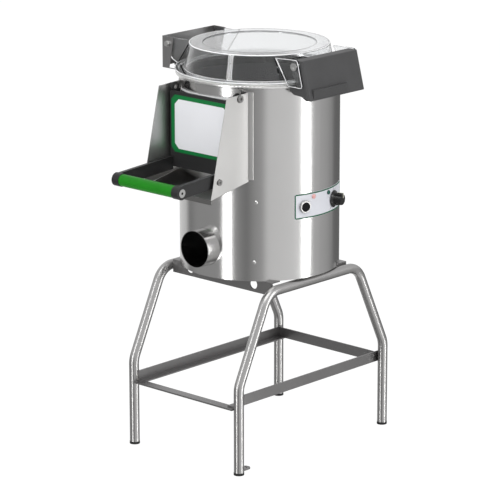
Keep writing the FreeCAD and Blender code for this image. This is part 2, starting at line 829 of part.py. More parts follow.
latch_cuts = [
    rod("z", "rim_radius + 2 * part_gap", "lid_top - drum_bottom", "0", "0", "drum_bottom"),
    rod("y", "latch_bolt_radius + running_gap", "3 * latch_half_length", "-latch_pivot_reach",
        "-1.5 * latch_half_length", "latch_pivot_height"),
    box("-latch_reach - 5", "-drum_radius", "latch_half_length * 0.55", "latch_half_length - 2 * sheet",
        "latch_bottom - 5", "latch_bottom + 2.5 * sheet"),
    box("-latch_reach - 5", "-drum_radius", "-latch_half_length + 2 * sheet", "-latch_half_length * 0.55",
        "latch_bottom - 5", "latch_bottom + 2.5 * sheet"),
]
place(cut(join(latch_pieces), latch_cuts), "latch")

bolts = []
for side, axis in ((-1, "-y"), (1, "y")):
    inner = "(left_ear_outer - ear_thickness - 7)"
    outer = "(latch_half_length + part_gap)"
    stem = rod(axis, "latch_bolt_radius", outer + " - " + inner + " + 2", "-latch_pivot_reach",
               "%d * %s" % (side, inner), "latch_pivot_height")
    washer = rod(axis, "latch_bolt_radius * 2", "1.5", "-latch_pivot_reach", "%d * %s" % (side, outer),
                 "latch_pivot_height")
    head = hexagon(axis, "latch_bolt_radius * 1.7", "5", "-latch_pivot_reach", "%d * (%s + 1.5)" % (side, outer),
                   "latch_pivot_height")
    nut = hexagon(axis, "latch_bolt_radius * 1.7", "5", "-latch_pivot_reach", "%d * (%s + 2)" % (side, inner),
                  "latch_pivot_height")
    bolts.append(join([stem, washer, head, nut]))
group("latch_bolts", bolts)

# Chute: two side plates with flanges on the drum, and a sloping floor between them
root_reach = "(drum_radius * 0.7)"
for label, side in (("chute_side_right", 1), ("chute_side_left", -1)):
    plate = doc.addObject("PartDesign::Body", "chute_plate")
    sketch = draw(plate, "YZ", "%d * %s" % (side, chute_inside))
    polygon(sketch, [
        ("-" + root_reach, "chute_root_height"), ("-chute_lip_reach", "chute_lip_height"),
        ("-chute_top_reach", "chute_top - 4"), ("-" + root_reach, "chute_top")])
    pad(plate, sketch, "sheet", back=side < 0)
    holes = draw(plate, "YZ")
    circle(holes, "-door_pivot_reach", "door_pivot_height", "pivot_screw_radius + skin_gap")
    circle(holes, "-stop_reach", "stop_height", "stop_screw_radius + skin_gap")
    pocket(plate, holes, "4 * chute_half_width", middle=True)
    skin = cut(rod("z", skin_out + " + sheet", "chute_top - chute_root_height", "0", "0", "chute_root_height"),
               [rod("z", skin_out, "2 * drum_height", "0", "0", "drum_bottom")])
    low = "chute_half_width - sheet" if side > 0 else "-chute_half_width - chute_flange"
    high = "chute_half_width + chute_flange" if side > 0 else "-chute_half_width + sheet"
    strip = overlap(skin, box(low, high, "-drum_radius", "0", "chute_root_height", "chute_top"))
    trimmed = cut(plate, [rod("z", skin_out, "2 * drum_height", "0", "0", "drum_bottom")])
    place(join([trimmed, strip]), label)

floor_plate = doc.addObject("PartDesign::Body", "chute_floor_plate")
sketch = draw(floor_plate, "YZ")
lip_reach = "(chute_lip_reach - 2)"
polygon(sketch, [
    ("-" + root_reach, "chute_root_height"), ("-" + lip_reach, "chute_lip_height"),
    ("-" + lip_reach, "chute_lip_height - 12"), ("-" + lip_reach + " + sheet", "chute_lip_height - 12"),
    ("-" + lip_reach + " + sheet", "chute_lip_height - sheet"), ("-" + root_reach, "chute_root_height - sheet")])
pad(floor_plate, sketch, "2 * " + chute_inside, middle=True)
place(cut(floor_plate, [rod("z", skin_out, "2 * drum_height", "0", "0", "drum_bottom")]), "chute_floor")

# Door carrier: a folded tray whose upper ears swing on the pivot screws
carrier = doc.addObject("PartDesign::Body", "carrier_tray")
sketch = draw(carrier, "XY", "door_bottom")
wall = "door_panel_thickness"
cheek_back = "-door_face_reach + door_cheek_depth"
polygon(sketch, [
    ("-door_half_width", cheek_back), ("-door_half_width", "-door_face_reach"),
    ("door_half_width", "-door_face_reach"), ("door_half_width", cheek_back),
    ("door_half_width - " + wall, cheek_back), ("door_half_width - " + wall, "-door_face_reach + " + wall),
    ("-door_half_width + " + wall, "-door_face_reach + " + wall), ("-door_half_width + " + wall, cheek_back)])
pad(carrier, sketch, "door_top - door_bottom")
door_ears = []
for side, axis in ((-1, "-x"), (1, "x")):
    ear_in = "%d * (door_half_width - %s)" % (side, wall)
    door_ears.append(rod(axis, "door_ear_radius", wall, ear_in, "-door_pivot_reach", "door_pivot_height"))
    door_ears.append(rod(axis, "door_ear_radius - 4", "%s - part_gap - door_half_width + %s" % (chute_inside, wall),
                         ear_in, "-door_pivot_reach", "door_pivot_height"))
pivot_bore = rod("x", "pivot_screw_radius + running_gap", "4 * door_half_width", "-2 * door_half_width",
                 "-door_pivot_reach", "door_pivot_height")
plate_room = rod("z", skin_out + " + door_plate_gap + 2 * sheet", "door_top", "0", "0", "0")
carrier_cut = cut(join([carrier] + door_ears), [
    pivot_bore,
    overlap(plate_room, box("-drum_radius", "drum_radius", "-drum_radius * 2", "0", "door_bottom - 1",
                            "door_top + 1"))])
place(carrier_cut, "door_carrier")

# Inner plate of the door, curved like the drum that it closes
door_skin = cut(
    rod("z", skin_out + " + door_plate_gap + sheet", "door_top - door_bottom - 2", "0", "0", "door_bottom + 1"),
    [rod("z", skin_out + " + door_plate_gap", "2 * drum_height", "0", "0", "drum_bottom")])
door_inner = overlap(door_skin, box("-door_half_width + 1", "door_half_width - 1", "-2 * drum_radius", "0",
                                    "door_bottom + 1", "door_top - 1"))
place(door_inner, "door_inner_plate")

body = new_body("door_label")
sketch = draw(body, "XZ", "door_face_reach")
polygon(sketch, [
    ("-label_half_width + label_corner", "label_bottom"), ("label_half_width - label_corner", "label_bottom"),
    ("label_half_width", "label_bottom + label_corner"), ("label_half_width", "label_top - label_corner"),
    ("label_half_width - label_corner", "label_top"), ("-label_half_width + label_corner", "label_top"),
    ("-label_half_width", "label_top - label_corner"), ("-label_half_width", "label_bottom + label_corner")])
pad(body, sketch, "label_thickness")

# Door arms, from the panel's lower corners to the handle
for label, side in (("door_arm_right", 1), ("door_arm_left", -1)):
    body = new_body(label)
    sketch = draw(body, "YZ", "%d * arm_inner" % side)
    polygon(sketch, [
        ("-door_face_reach", "arm_bottom"), ("-handle_reach", "handle_height - handle_boss_radius"),
        ("-handle_reach", "handle_height + handle_boss_radius"), ("-door_face_reach", "arm_bottom + arm_height")])
    pad(body, sketch, "arm_thickness", back=side < 0)
    boss = draw(body, "YZ", "%d * arm_inner" % side)
    circle(boss, "-handle_reach", "handle_height", "handle_boss_radius")
    pad(body, boss, "handle_boss_end - arm_inner", back=side < 0)
    bore = draw(body, "YZ")
    circle(bore, "-handle_reach", "handle_height", "handle_bar_radius + running_gap")
    pocket(body, bore, "4 * arm_inner", middle=True)

body = new_body("handle_bar")
sketch = draw(body, "YZ")
circle(sketch, "-handle_reach", "handle_height", "handle_bar_radius")
pad(body, sketch, "2 * (handle_boss_end - 2)", middle=True)

grip = rod("x", "grip_radius", "2 * (arm_inner - grip_gap)", "-arm_inner + grip_gap", "-handle_reach",
           "handle_height")
grip_bore = rod("x", "handle_bar_radius + running_gap", "3 * arm_inner", "-1.5 * arm_inner", "-handle_reach",
                "handle_height")
place(cut(grip, [grip_bore]), "handle_grip")

screws = []
for side, axis in ((-1, "-x"), (1, "x")):
    at = "%d * (handle_boss_end - 2)" % side
    head = rod(axis, "handle_bar_radius - 0.5", "3", at, "-handle_reach", "handle_height")
    dimple = rod(axis, "3.2", "3", "%d * (handle_boss_end - 0.8)" % side, "-handle_reach", "handle_height")
    screws.append(cut(head, [dimple]))
group("handle_screws", screws)

# Pivot screws of the door and stop screws of the chute
for label, reach, height, radius, nut_face in (
        ("door_pivot_screws", "door_pivot_reach", "door_pivot_height", "pivot_screw_radius", ""),
        ("stop_screws", "stop_reach", "stop_height", "stop_screw_radius", arm_outer + " + 1")):
    screws = []
    for side, axis in ((-1, "-x"), (1, "x")):
        inner = nut_face or "door_half_width - door_panel_thickness"
        stem = rod(axis, radius, "chute_half_width - (%s)" % inner, "%d * (%s)" % (side, inner), "-" + reach, height)
        head = rod(axis, radius + " * 1.8", "4", "%d * chute_half_width" % side, "-" + reach, height)
        slot = hexagon(axis, radius + " * 0.8", "4", "%d * (chute_half_width + 2)" % side, "-" + reach, height)
        pieces = [stem, head]
        if nut_face:
            pieces.append(hexagon(axis, radius + " * 1.8", "%s - (%s)" % (chute_inside, inner),
                                  "%d * (%s)" % (side, inner), "-" + reach, height))
        screws.append(cut(join(pieces), [slot]))
    group(label, screws)

# Outlet: a bent pipe from the chamber's drain to the front of the drum
drain = value("drain_reach")
low = value("outlet_height")
outlet_points = [
    FreeCAD.Vector(0, -drain, value("pan_bottom")),
    FreeCAD.Vector(0, -drain, low),
    FreeCAD.Vector(0, -value("outlet_reach"), low)]
bent_tube("outlet_pipe", outlet_points, value("outlet_bend"), value("outlet_radius"), value("outlet_wall"))

# Control panel: a curved plate on the drum with holes for the controls
panel_outer = rod("z", panel_face, "panel_height", "0", "0", "panel_bottom")
panel_inner = rod("z", skin_out, "panel_height", "0", "0", "panel_bottom")
for item in (panel_outer, panel_inner):
    bind(item, "Angle", "panel_sweep")
    item.Placement.Rotation = FreeCAD.Rotation(FreeCAD.Vector(0, 0, 1), value("panel_start"))
place(cut(panel_outer, [
    panel_inner,
    radial_rod("bezel_neck_radius + skin_gap", "drum_radius / 2", "drum_radius + 5", "button_angle", "button_height"),
    radial_rod("pilot_radius - 1", "drum_radius / 2", "drum_radius + 5", "red_pilot_angle", "pilot_height"),
    radial_rod("pilot_radius - 1", "drum_radius / 2", "drum_radius + 5", "green_pilot_angle", "pilot_height"),
    radial_rod("knob_shaft_radius + 1", "drum_radius / 2", "drum_radius + 5", "timer_angle", "timer_height")]),
    "control_panel")

# Start button: bezel, sprung cap and contact block
cap_bore = "(cap_radius + part_gap)"
turned("start_bezel", [
    (drum_inside + " - 6", cap_bore), (drum_inside + " - 6", "bezel_neck_radius"),
    (panel_face, "bezel_neck_radius"), (panel_face, "bezel_radius"),
    (panel_face + " + bezel_proud - 1.5", "bezel_radius"), (panel_face + " + bezel_proud", "bezel_radius - 1.5"),
    (panel_face + " + bezel_proud", cap_bore)], "button_angle", "button_height", lying=True)
cap_back = "(%s - 1)" % drum_inside
cap = turned("start_cap", [
    (cap_back, "0"), (cap_back, "cap_radius"), (panel_face + " + bezel_proud + cap_proud", "cap_radius"),
    (panel_face + " + bezel_proud + cap_proud", "0")], "button_angle", "button_height", lying=True)
soften(cap, "1.5", lambda edge, middle: edge.BoundBox.XMin > value("drum_radius") + 2 and middle.Length > 0)
bezel_end = "(%s - 6)" % drum_inside
body = new_body("button_block", "button_angle", "button_height")
sketch = draw(body, "YZ", bezel_end)
rectangle(sketch, "-bezel_neck_radius", "bezel_neck_radius", "-bezel_neck_radius", "bezel_neck_radius")
pad(body, sketch, "button_block_depth", back=True)
plunger = draw(body, "YZ", bezel_end)
circle(plunger, "0", "0", "cap_radius - 3")
pad(body, plunger, cap_back + " - cap_travel - part_gap - " + bezel_end)

# Pilot lamps: coloured lenses on the panel, holders behind it
for label, angle in (("red_pilot", "red_pilot_angle"), ("green_pilot", "green_pilot_angle")):
    turned(label, [
        (drum_inside + " - 4", "0"), (drum_inside + " - 4", "pilot_radius - 1.3"),
        (panel_face, "pilot_radius - 1.3"), (panel_face, "pilot_radius"), (panel_face + " + 2.5", "pilot_radius"),
        (panel_face + " + 4", "pilot_radius - 2"), (panel_face + " + 4", "0")], angle, "pilot_height", lying=True)
holders = []
for angle in ("red_pilot_angle", "green_pilot_angle"):
    holders.append(radial_rod("pilot_radius + 1.5", drum_inside + " - 34", drum_inside + " - 4", angle, "pilot_height"))
group("pilot_holders", holders)

# Timer: knob with a pointer rib, and the clockwork body behind the panel
knob = turned("timer_knob", [
    (drum_inside + " - 14", "0"), (drum_inside + " - 14", "knob_shaft_radius"),
    (panel_face + " + part_gap", "knob_shaft_radius"), (panel_face + " + part_gap", "knob_skirt_radius"),
    (panel_face + " + 2", "knob_skirt_radius"), (panel_face + " + knob_skirt_height", "knob_grip_radius + 1.5"),
    (panel_face + " + knob_proud - 2", "knob_grip_radius - 1"), (panel_face + " + knob_proud", "knob_grip_radius - 3"),
    (panel_face + " + knob_proud", "0")], "timer_angle", "timer_height", lying=True)
for side in (-1, 1):
    flat = draw(knob, "XY", "%d * knob_grip_radius * 2" % side)
    rectangle(flat, panel_face + " + knob_skirt_height + 3", panel_face + " + knob_proud + 5",
              "%d * 8" % -1, "8")
rib = draw(knob, "YZ", panel_face + " + knob_skirt_height + 2")
rectangle(rib, "-2.4", "2.4", "0", "knob_grip_radius + 1.5")
pad(knob, rib, "knob_proud - knob_skirt_height - 2")
timer_front = "(%s - 12)" % drum_inside
body = new_body("timer_body", "timer_angle", "timer_height")
sketch = draw(body, "YZ", timer_front)
rectangle(sketch, "-timer_half_width", "timer_half_width", "-timer_below", "timer_above")
pad(body, sketch, "timer_depth", back=True)
hub = draw(body, "YZ", timer_front)
circle(hub, "0", "0", "10")
pad(body, hub, "9.5")
bore = draw(body, "YZ", timer_front)
circle(bore, "0", "0", "knob_shaft_radius + running_gap")
pocket(body, bore, "30", middle=True)

# Screws that hold the inner fittings to the drum
screws = []
for angle, height in (("upper_screw_angle", "upper_screw_height"),
                      ("lower_screw_angle", "lower_screw_height")):
    screw = doc.addObject("PartDesign::Body", "drum_screw")
    sketch = draw(screw, "XZ")
    polygon(sketch, [
        (skin_out, "0"), (skin_out, "4.5"), (skin_out + " + 1.2", "4.5"), (skin_out + " + 2.6", "2.5"),
        (skin_out + " + 2.6", "0")])
    revolve(screw, sketch, "H_Axis")
    bind(screw, "Placement.Base.z", height)
    bind(screw, "Placement.Rotation.Angle", angle)
    screws.append(screw)
group("drum_screws", screws)

# Chamber: floor pan with a drain, and the abrasive lining on the wall
pan_top = "(pan_bottom + pan_thickness)"
pan_out = "(%s - part_gap)" % drum_inside
housing_top_level = "(plate_bottom - 12)"
pan = turned("chamber_pan", [
    ("shaft_radius + 12", "pan_bottom"), (pan_out, "pan_bottom"), (pan_out, "pan_bottom + pan_lip"),
    (pan_out + " - pan_thickness", "pan_bottom + pan_lip"), (pan_out + " - pan_thickness", pan_top),
    ("housing_tube_radius + 8", pan_top), ("shaft_radius + 16", housing_top_level),
    ("shaft_radius + 12", housing_top_level)])
drain_hole = draw(pan, "XY", "pan_bottom")
circle(drain_hole, "0", "-drain_reach", "outlet_radius - outlet_wall")
pocket(pan, drain_hole, "4 * pan_thickness", middle=True)

lining_out = "(%s - part_gap)" % drum_inside
lining_ring = cut(
    rod("z", lining_out, "opening_top - pan_bottom - pan_lip + 14", "0", "0", "pan_bottom + pan_lip + part_gap"),
    [rod("z", lining_out + " - lining_thickness", "2 * drum_height", "0", "0", "pan_bottom")])
place(cut(lining_ring, [
    box("-opening_half_width", "opening_half_width", "-drum_radius", "0", "opening_bottom", "opening_top"),
]), "abrasive_lining")

# Shaft with its bearings, housing and seal
turned("drive_shaft", [
    ("0", "shaft_bottom"), ("shaft_radius - 1", "shaft_bottom"), ("shaft_radius", "shaft_bottom + 1"),
    ("shaft_radius", plate_top + " + 2"), ("shaft_radius - 3", plate_top + " + 3"),
    ("shaft_radius - 3", plate_top + " + 12"), ("0", plate_top + " + 12")])
low_bearing = "(" + chassis_top + " + 3)"
high_bearing = "(pan_bottom - 6 - bearing_height)"
tube_in = "(bearing_outer + running_gap)"
casting = turned("bearing_housing", [
    (tube_in, chassis_top), ("housing_flange_radius", chassis_top),
    ("housing_flange_radius", chassis_top + " + housing_flange_height"),
    ("housing_tube_radius", chassis_top + " + housing_flange_height + 6"),
    ("housing_tube_radius", "pan_bottom - housing_flange_height - 6"),
    ("housing_flange_radius", "pan_bottom - housing_flange_height"),
    ("housing_flange_radius", "pan_bottom"), (tube_in, "pan_bottom")])
rib = draw(casting, "XZ")
polygon(rib, [
    ("housing_tube_radius - 2", chassis_top + " + housing_flange_height"),
    ("housing_flange_radius - 6", chassis_top + " + housing_flange_height"),
    ("housing_tube_radius + 4", chassis_top + " + 60"), ("housing_tube_radius - 2", chassis_top + " + 60")])
rib_pad = pad(casting, rib, "5", middle=True)
pattern(casting, rib_pad, 4)
bearings = []
for low in (low_bearing, high_bearing):
    bearing = doc.addObject("PartDesign::Body", "bearing")
    sketch = draw(bearing, "XZ")
    inner = "shaft_radius + running_gap"
    high = low + " + bearing_height"
    polygon(sketch, [
        (inner, low), ("shaft_radius + 4", low), ("shaft_radius + 4", low + " + 0.8"),
        ("bearing_outer - 3", low + " + 0.8"), ("bearing_outer - 3", low), ("bearing_outer", low),
        ("bearing_outer", high), ("bearing_outer - 3", high), ("bearing_outer - 3", high + " - 0.8"),
        ("shaft_radius + 4", high + " - 0.8"), ("shaft_radius + 4", high), (inner, high)])
    revolve(bearing, sketch)
    bearings.append(bearing)
group("shaft_bearings", bearings)
turned("shaft_seal", [
    ("shaft_radius + part_gap", "pan_bottom"), ("shaft_radius + 11.8", "pan_bottom"),
    ("shaft_radius + 11.8", housing_top_level + " - 1"), ("shaft_radius + 6", housing_top_level + " + 4"),
    ("shaft_radius + part_gap", housing_top_level + " + 4")])

# Turntable: an abrasive disc with three radial waves, on a cast hub
disc = turned("abrasive_plate", [
    ("shaft_radius + running_gap", "plate_bottom"), ("plate_radius", "plate_bottom"),
    ("plate_radius", plate_top + " - 2"), ("plate_radius - 2", plate_top),
    ("shaft_radius + running_gap", plate_top)])


def wave_section(body, away, half_width, height):
    """A low rounded hump seen along the radius, closed by the disc's top."""
    sketch = draw(body, "YZ", away)
    base = plate_top + " - 3"
    polygon(sketch, [
        ("-" + half_width, base), (half_width, base), ("%s * 0.62" % half_width, plate_top + " + %s * 0.5" % height),
        ("%s * 0.25" % half_width, plate_top + " + %s * 0.93" % height),
        ("-%s * 0.25" % half_width, plate_top + " + %s * 0.93" % height),
        ("-%s * 0.62" % half_width, plate_top + " + %s * 0.5" % height)])
    return sketch


near_section = wave_section(disc, "hub_radius", "(wave_half_width / 3)", "(wave_height / 3)")
far_section = wave_section(disc, "plate_radius - 10", "wave_half_width", "wave_height")
wave = feature(disc, "AdditiveLoft", near_section)
wave.Sections = [far_section]
wave.Ruled = True
pattern(disc, wave, 3)
trim = draw(disc, "XY", "plate_bottom - 5")
circle(trim, "0", "0", "plate_radius + 60")
circle(trim, "0", "0", "plate_radius")
pocket(disc, trim, "80", back=True)

turned("plate_hub", [
    ("shaft_radius + running_gap", "plate_bottom - 7"), ("hub_radius - 6", "plate_bottom - 7"),
    ("hub_radius", "plate_bottom - 3"), ("hub_radius", "plate_bottom"), ("shaft_radius + running_gap", "plate_bottom")])
cap = turned("plate_cap", [
    ("shaft_radius - 3 + running_gap", plate_top + " + 3"), ("shaft_radius + 0.3", plate_top + " + 3"),
    ("shaft_radius + 0.3", plate_top), ("shaft_radius + 14", plate_top), ("shaft_radius + 12", plate_top + " + 7"),
    ("shaft_radius + 2", plate_top + " + 15"), ("0", plate_top + " + 15"), ("0", plate_top + " + 12.2"),
    ("shaft_radius - 3 + running_gap", plate_top + " + 12.2")])

# Chassis plate that carries the bearing housing and the motor
body = new_body("motor_plate")
sketch = draw(body, "XY", "chassis_bottom")
rectangle(sketch, "-motor_radius - 8", "motor_radius + 8", "-housing_flange_radius", "motor_reach + motor_radius + 8")
circle(sketch, "0", "0", "shaft_radius + 4")
circle(sketch, "0", "motor_reach", "motor_shaft_radius + 6")
pad(body, sketch, "chassis_thickness")

# Motor: finned body, end bell and shaft
motor = new_body("motor")
motor_low = chassis_top
sketch = draw(motor, "XY", motor_low)
circle(sketch, "0", "motor_reach", "motor_radius - fin_height")
circle(sketch, "0", "motor_reach", "motor_shaft_radius + part_gap")
pad(motor, sketch, "motor_height")
foot = draw(motor, "XY", motor_low)
circle(foot, "0", "motor_reach", "motor_radius")
circle(foot, "0", "motor_reach", "motor_shaft_radius + part_gap")
pad(motor, foot, "10")
top_bell = draw(motor, "XY", motor_low + " + motor_height - 26")
circle(top_bell, "0", "motor_reach", "motor_radius")
circle(top_bell, "0", "motor_reach", "motor_radius - fin_height - 2")
pad(motor, top_bell, "26")
for index in range(16):
    turn = 22.5 * index
    fin = draw(motor, "XY", motor_low + " + 8")
    reach = "motor_radius - 0.5"
    root = "motor_radius - fin_height - 2"
    across = "-cos(%sdeg)" % turn
    along = "sin(%sdeg)" % turn
    fin_corners = []
    for away, offset in ((root, -1.2), (reach, -1.2), (reach, 1.2), (root, 1.2)):
        fin_corners.append((
            "(%s) * %s + %s * %s" % (away, along, offset, across),
            "motor_reach - (%s) * %s + %s * %s" % (away, across, offset, along)))
    polygon(fin, fin_corners)
    pad(motor, fin, "motor_height - 34 + 2")
bell_cap = draw(motor, "XY", motor_low + " + motor_height - 3")
circle(bell_cap, "0", "motor_reach", "motor_radius - fin_height")
pad(motor, bell_cap, "3")


def grooved(label, radius, hub, bore, centre):
    """A ribbed pulley turned about its own shaft."""
    body = new_body(label)
    bind(body, "Placement.Base.y", shift_y + " + " + centre)
    sketch = draw(body, "XZ")
    low = "pulley_bottom"
    high = "(pulley_bottom + pulley_height)"
    outline = [(bore, low), (radius, low)]
    for index in range(4):
        start = "%s + %s * groove_pitch + 0.6" % (low, index)
        outline.append((radius, start))
        outline.append((radius + " - groove_depth", start + " + groove_pitch / 2"))
        outline.append((radius, start + " + groove_pitch - 0.05"))
    outline += [(radius, high), (bore, high)]
    polygon(sketch, outline)
    revolve(body, sketch)
    if hub:
        for face, back in ((high, False), (low, True)):
            recess = draw(body, "XY", face)
            circle(recess, "0", "0", radius + " - 10")
            circle(recess, "0", "0", hub)
            pocket(body, recess, "pulley_height / 2 - 2.5", back=back)
    return body


large = grooved("large_pulley", "pulley_radius", "shaft_radius + 12", "shaft_radius + running_gap", "0")
window = draw(large, "XY", "pulley_bottom + pulley_height / 2")
circle(window, "(pulley_radius - 10 + shaft_radius + 12) / 2", "0", "15")
window_cut = pocket(large, window, "pulley_height * 2", middle=True)
pattern(large, window_cut, 5)
grooved("motor_pulley", "small_pulley_radius", "", "motor_shaft_radius + running_gap", "motor_reach")
body = new_body("motor_shaft")
sketch = draw(body, "XY", "pulley_bottom - 1")
circle(sketch, "0", "motor_reach", "motor_shaft_radius")
pad(body, sketch, chassis_top + " + motor_shaft_length - pulley_bottom")


# Belt: an open loop drawn tangent to both pulleys
def belt_loop(extra, low, high):
    big = value("pulley_radius") + extra
    small = value("small_pulley_radius") + extra
    span = value("motor_reach")
    lean = math.asin((big - small) / span)
    side = FreeCAD.Vector(math.cos(lean), math.sin(lean), 0)
    lift = FreeCAD.Vector(0, 0, low)
    far = FreeCAD.Vector(0, span, 0)
    mirror = FreeCAD.Vector(-side.x, side.y, 0)
    start, end = side * big + lift, far + side * small + lift
    back_start, back_end = far + mirror * small + lift, mirror * big + lift
    edges = [
        Part.LineSegment(start, end).toShape(),
        Part.Arc(end, far + FreeCAD.Vector(0, small, low), back_start).toShape(),
        Part.LineSegment(back_start, back_end).toShape(),
        Part.Arc(back_end, FreeCAD.Vector(0, -big, low), start).toShape()]
    return Part.Face(Part.Wire(edges)).extrude(FreeCAD.Vector(0, 0, high - low))


belt_low = value("pulley_bottom") + 0.6
belt_high = value("pulley_bottom") + value("pulley_height") - 0.6
belt_inside = value("belt_gap")
belt = belt_loop(belt_inside + value("belt_thickness"), belt_low, belt_high)
belt = belt.cut(belt_loop(belt_inside, belt_low, belt_high))
belt_item = doc.addObject("Part::Feature", "belt_solid")
belt_item.Shape = belt.Solids[0]
place(belt_item, "drive_belt")

# Build, check every object and write one file per piece
doc.recompute()
faults = []
for item in doc.Objects:
    if "Invalid" in item.State or "Error" in item.State:
        faults.append(item.Label + " " + str(item.State))
for item in parts:
    if item.Shape.isNull() or not item.Shape.isValid():
        faults.append(item.Label + " has no valid shape")
if faults:
    raise RuntimeError("; ".join(faults))
os.makedirs("parts", exist_ok=True)
for item in parts:
    item.Shape.exportStep("parts/" + item.Label + ".step")
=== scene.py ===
import json
import math
import random

import bmesh
import bpy
from mathutils import Matrix, Vector


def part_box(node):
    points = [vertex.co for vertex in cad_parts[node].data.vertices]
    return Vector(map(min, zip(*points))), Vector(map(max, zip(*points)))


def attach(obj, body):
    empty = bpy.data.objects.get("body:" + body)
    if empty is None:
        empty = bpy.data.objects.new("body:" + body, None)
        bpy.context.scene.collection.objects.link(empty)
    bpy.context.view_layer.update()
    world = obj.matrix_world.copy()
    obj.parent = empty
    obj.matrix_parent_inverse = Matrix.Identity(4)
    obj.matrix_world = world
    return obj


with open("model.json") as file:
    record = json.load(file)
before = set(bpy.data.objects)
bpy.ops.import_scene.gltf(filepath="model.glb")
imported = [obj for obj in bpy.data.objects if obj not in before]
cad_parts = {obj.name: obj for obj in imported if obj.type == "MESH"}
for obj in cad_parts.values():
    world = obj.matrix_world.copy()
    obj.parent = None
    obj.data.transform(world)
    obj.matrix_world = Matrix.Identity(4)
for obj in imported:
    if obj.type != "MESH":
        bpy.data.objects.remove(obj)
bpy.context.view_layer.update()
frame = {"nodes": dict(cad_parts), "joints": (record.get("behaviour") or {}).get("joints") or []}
scene = bpy.context.scene
MM = 0.001

# Places that come from the frame
joint = {item["name"]: item for item in frame["joints"]}
drum_low, drum_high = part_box("drum_shell")
axis_x = joint["turntable_spin"]["pos_m"][0]
axis_y = joint["turntable_spin"]["pos_m"][1]
drum_radius = (drum_high.x - drum_low.x) / 2
drum_axis = Vector((axis_x, axis_y, 0))


def radial(angle):
    """Outward direction from the drum's axis at an angle in degrees."""
    turn = math.radians(angle)
    return Vector((math.cos(turn), math.sin(turn), 0))


def middle_of(node):
    """Middle of a node's box."""
    low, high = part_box(node)
    return (low + high) / 2


def angle_of(point):
    """Angle in degrees of a point about the drum's axis."""
    return math.degrees(math.atan2(point[1] - axis_y, point[0] - axis_x))


# Node helpers
def new_material(name):
    """A material with its node tree and its main shader."""
    material = bpy.data.materials.new(name)
    material.use_nodes = True
    tree = material.node_tree
    return material, tree, tree.nodes["Principled BSDF"]


def add(tree, kind, **settings):
    """A new node: each setting goes to the input of that name, or else to the property."""
    node = tree.nodes.new(kind)
    for key, setting in settings.items():
        if key in node.inputs:
            node.inputs[key].default_value = setting
        else:
            setattr(node, key, setting)
    return node


def object_coordinates(tree, stretch=(1, 1, 1)):
    """Object coordinates in metres, scaled apart along each axis."""
    source = add(tree, "ShaderNodeTexCoord")
    mapping = add(tree, "ShaderNodeMapping")
    mapping.inputs["Scale"].default_value = stretch
    tree.links.new(source.outputs["Object"], mapping.inputs["Vector"])
    return mapping.outputs["Vector"]


def noise(tree, vector, scale, detail=3.0, rough=0.55):
    """Fractal noise over the given coordinates."""
    node = add(tree, "ShaderNodeTexNoise", Scale=scale, Detail=detail, Roughness=rough)
    tree.links.new(vector, node.inputs["Vector"])
    return node.outputs["Fac"]


def spread(tree, source, low, high, start=0.3, end=0.7):
    """A noise value taken to a range."""
    node = add(tree, "ShaderNodeMapRange")
    node.inputs["From Min"].default_value = start
    node.inputs["From Max"].default_value = end
    node.inputs["To Min"].default_value = low
    node.inputs["To Max"].default_value = high
    tree.links.new(source, node.inputs["Value"])
    return node.outputs["Result"]


def tint(tree, source, dark, light, start=0.3, end=0.7):
    """A noise value taken to a colour between two."""
    ramp = add(tree, "ShaderNodeValToRGB")
    ramp.color_ramp.elements[0].position = start
    ramp.color_ramp.elements[0].color = (*dark, 1)
    ramp.color_ramp.elements[1].position = end
    ramp.color_ramp.elements[1].color = (*light, 1)
    tree.links.new(source, ramp.inputs["Fac"])
    return ramp.outputs["Color"]


def bump(tree, shader, source, distance, strength=1.0):
    """Surface relief from a value, its depth in metres."""
    node = add(tree, "ShaderNodeBump", Distance=distance, Strength=strength)
    tree.links.new(source, node.inputs["Height"])
    tree.links.new(node.outputs["Normal"], shader.inputs["Normal"])


def shade(color, factor):
    """A colour made lighter or darker by a factor."""
    return tuple(min(1.0, channel * factor) for channel in color)


# Materials
def brushed_metal(name, color, rough, grain=(60, 60, 2600), depth=0.00002, cloud=7.0):
    """Satin metal: fine lines along one direction over a faint cloudy handling mark."""
    material, tree, shader = new_material(name)
    lines = noise(tree, object_coordinates(tree, grain), 1.0, 4.0, 0.6)
    marks = noise(tree, object_coordinates(tree), cloud, 3.0)
    shader.inputs["Metallic"].default_value = 1.0
    mixed = add(tree, "ShaderNodeMath", operation="ADD")
    tree.links.new(spread(tree, lines, 0.0, 0.5), mixed.inputs[0])
    tree.links.new(spread(tree, marks, 0.0, 0.5), mixed.inputs[1])
    both = mixed.outputs["Value"]
    tree.links.new(tint(tree, both, shade(color, 0.965), shade(color, 1.02), 0.1, 0.9),
                   shader.inputs["Base Color"])
    tree.links.new(spread(tree, both, rough * 0.92, rough * 1.1, 0.1, 0.9), shader.inputs["Roughness"])
    bump(tree, shader, lines, depth, 0.6)
    return material


def moulded(name, color, rough, pebble=1800.0, depth=0.00004, coat=0.0, shine=0.3):
    """Moulded or coated surface with a fine pebble and a slow change of tone."""
    material, tree, shader = new_material(name)
    vector = object_coordinates(tree)
    grain = noise(tree, vector, pebble, 2.0)
    marks = noise(tree, vector, 14.0, 3.0)
    tree.links.new(tint(tree, marks, shade(color, 0.9), shade(color, 1.1)), shader.inputs["Base Color"])
    tree.links.new(spread(tree, marks, rough * 0.88, rough * 1.12), shader.inputs["Roughness"])
    shader.inputs["Coat Weight"].default_value = coat
    shader.inputs["Specular IOR Level"].default_value = shine
    bump(tree, shader, grain, depth, 0.5)
    return material


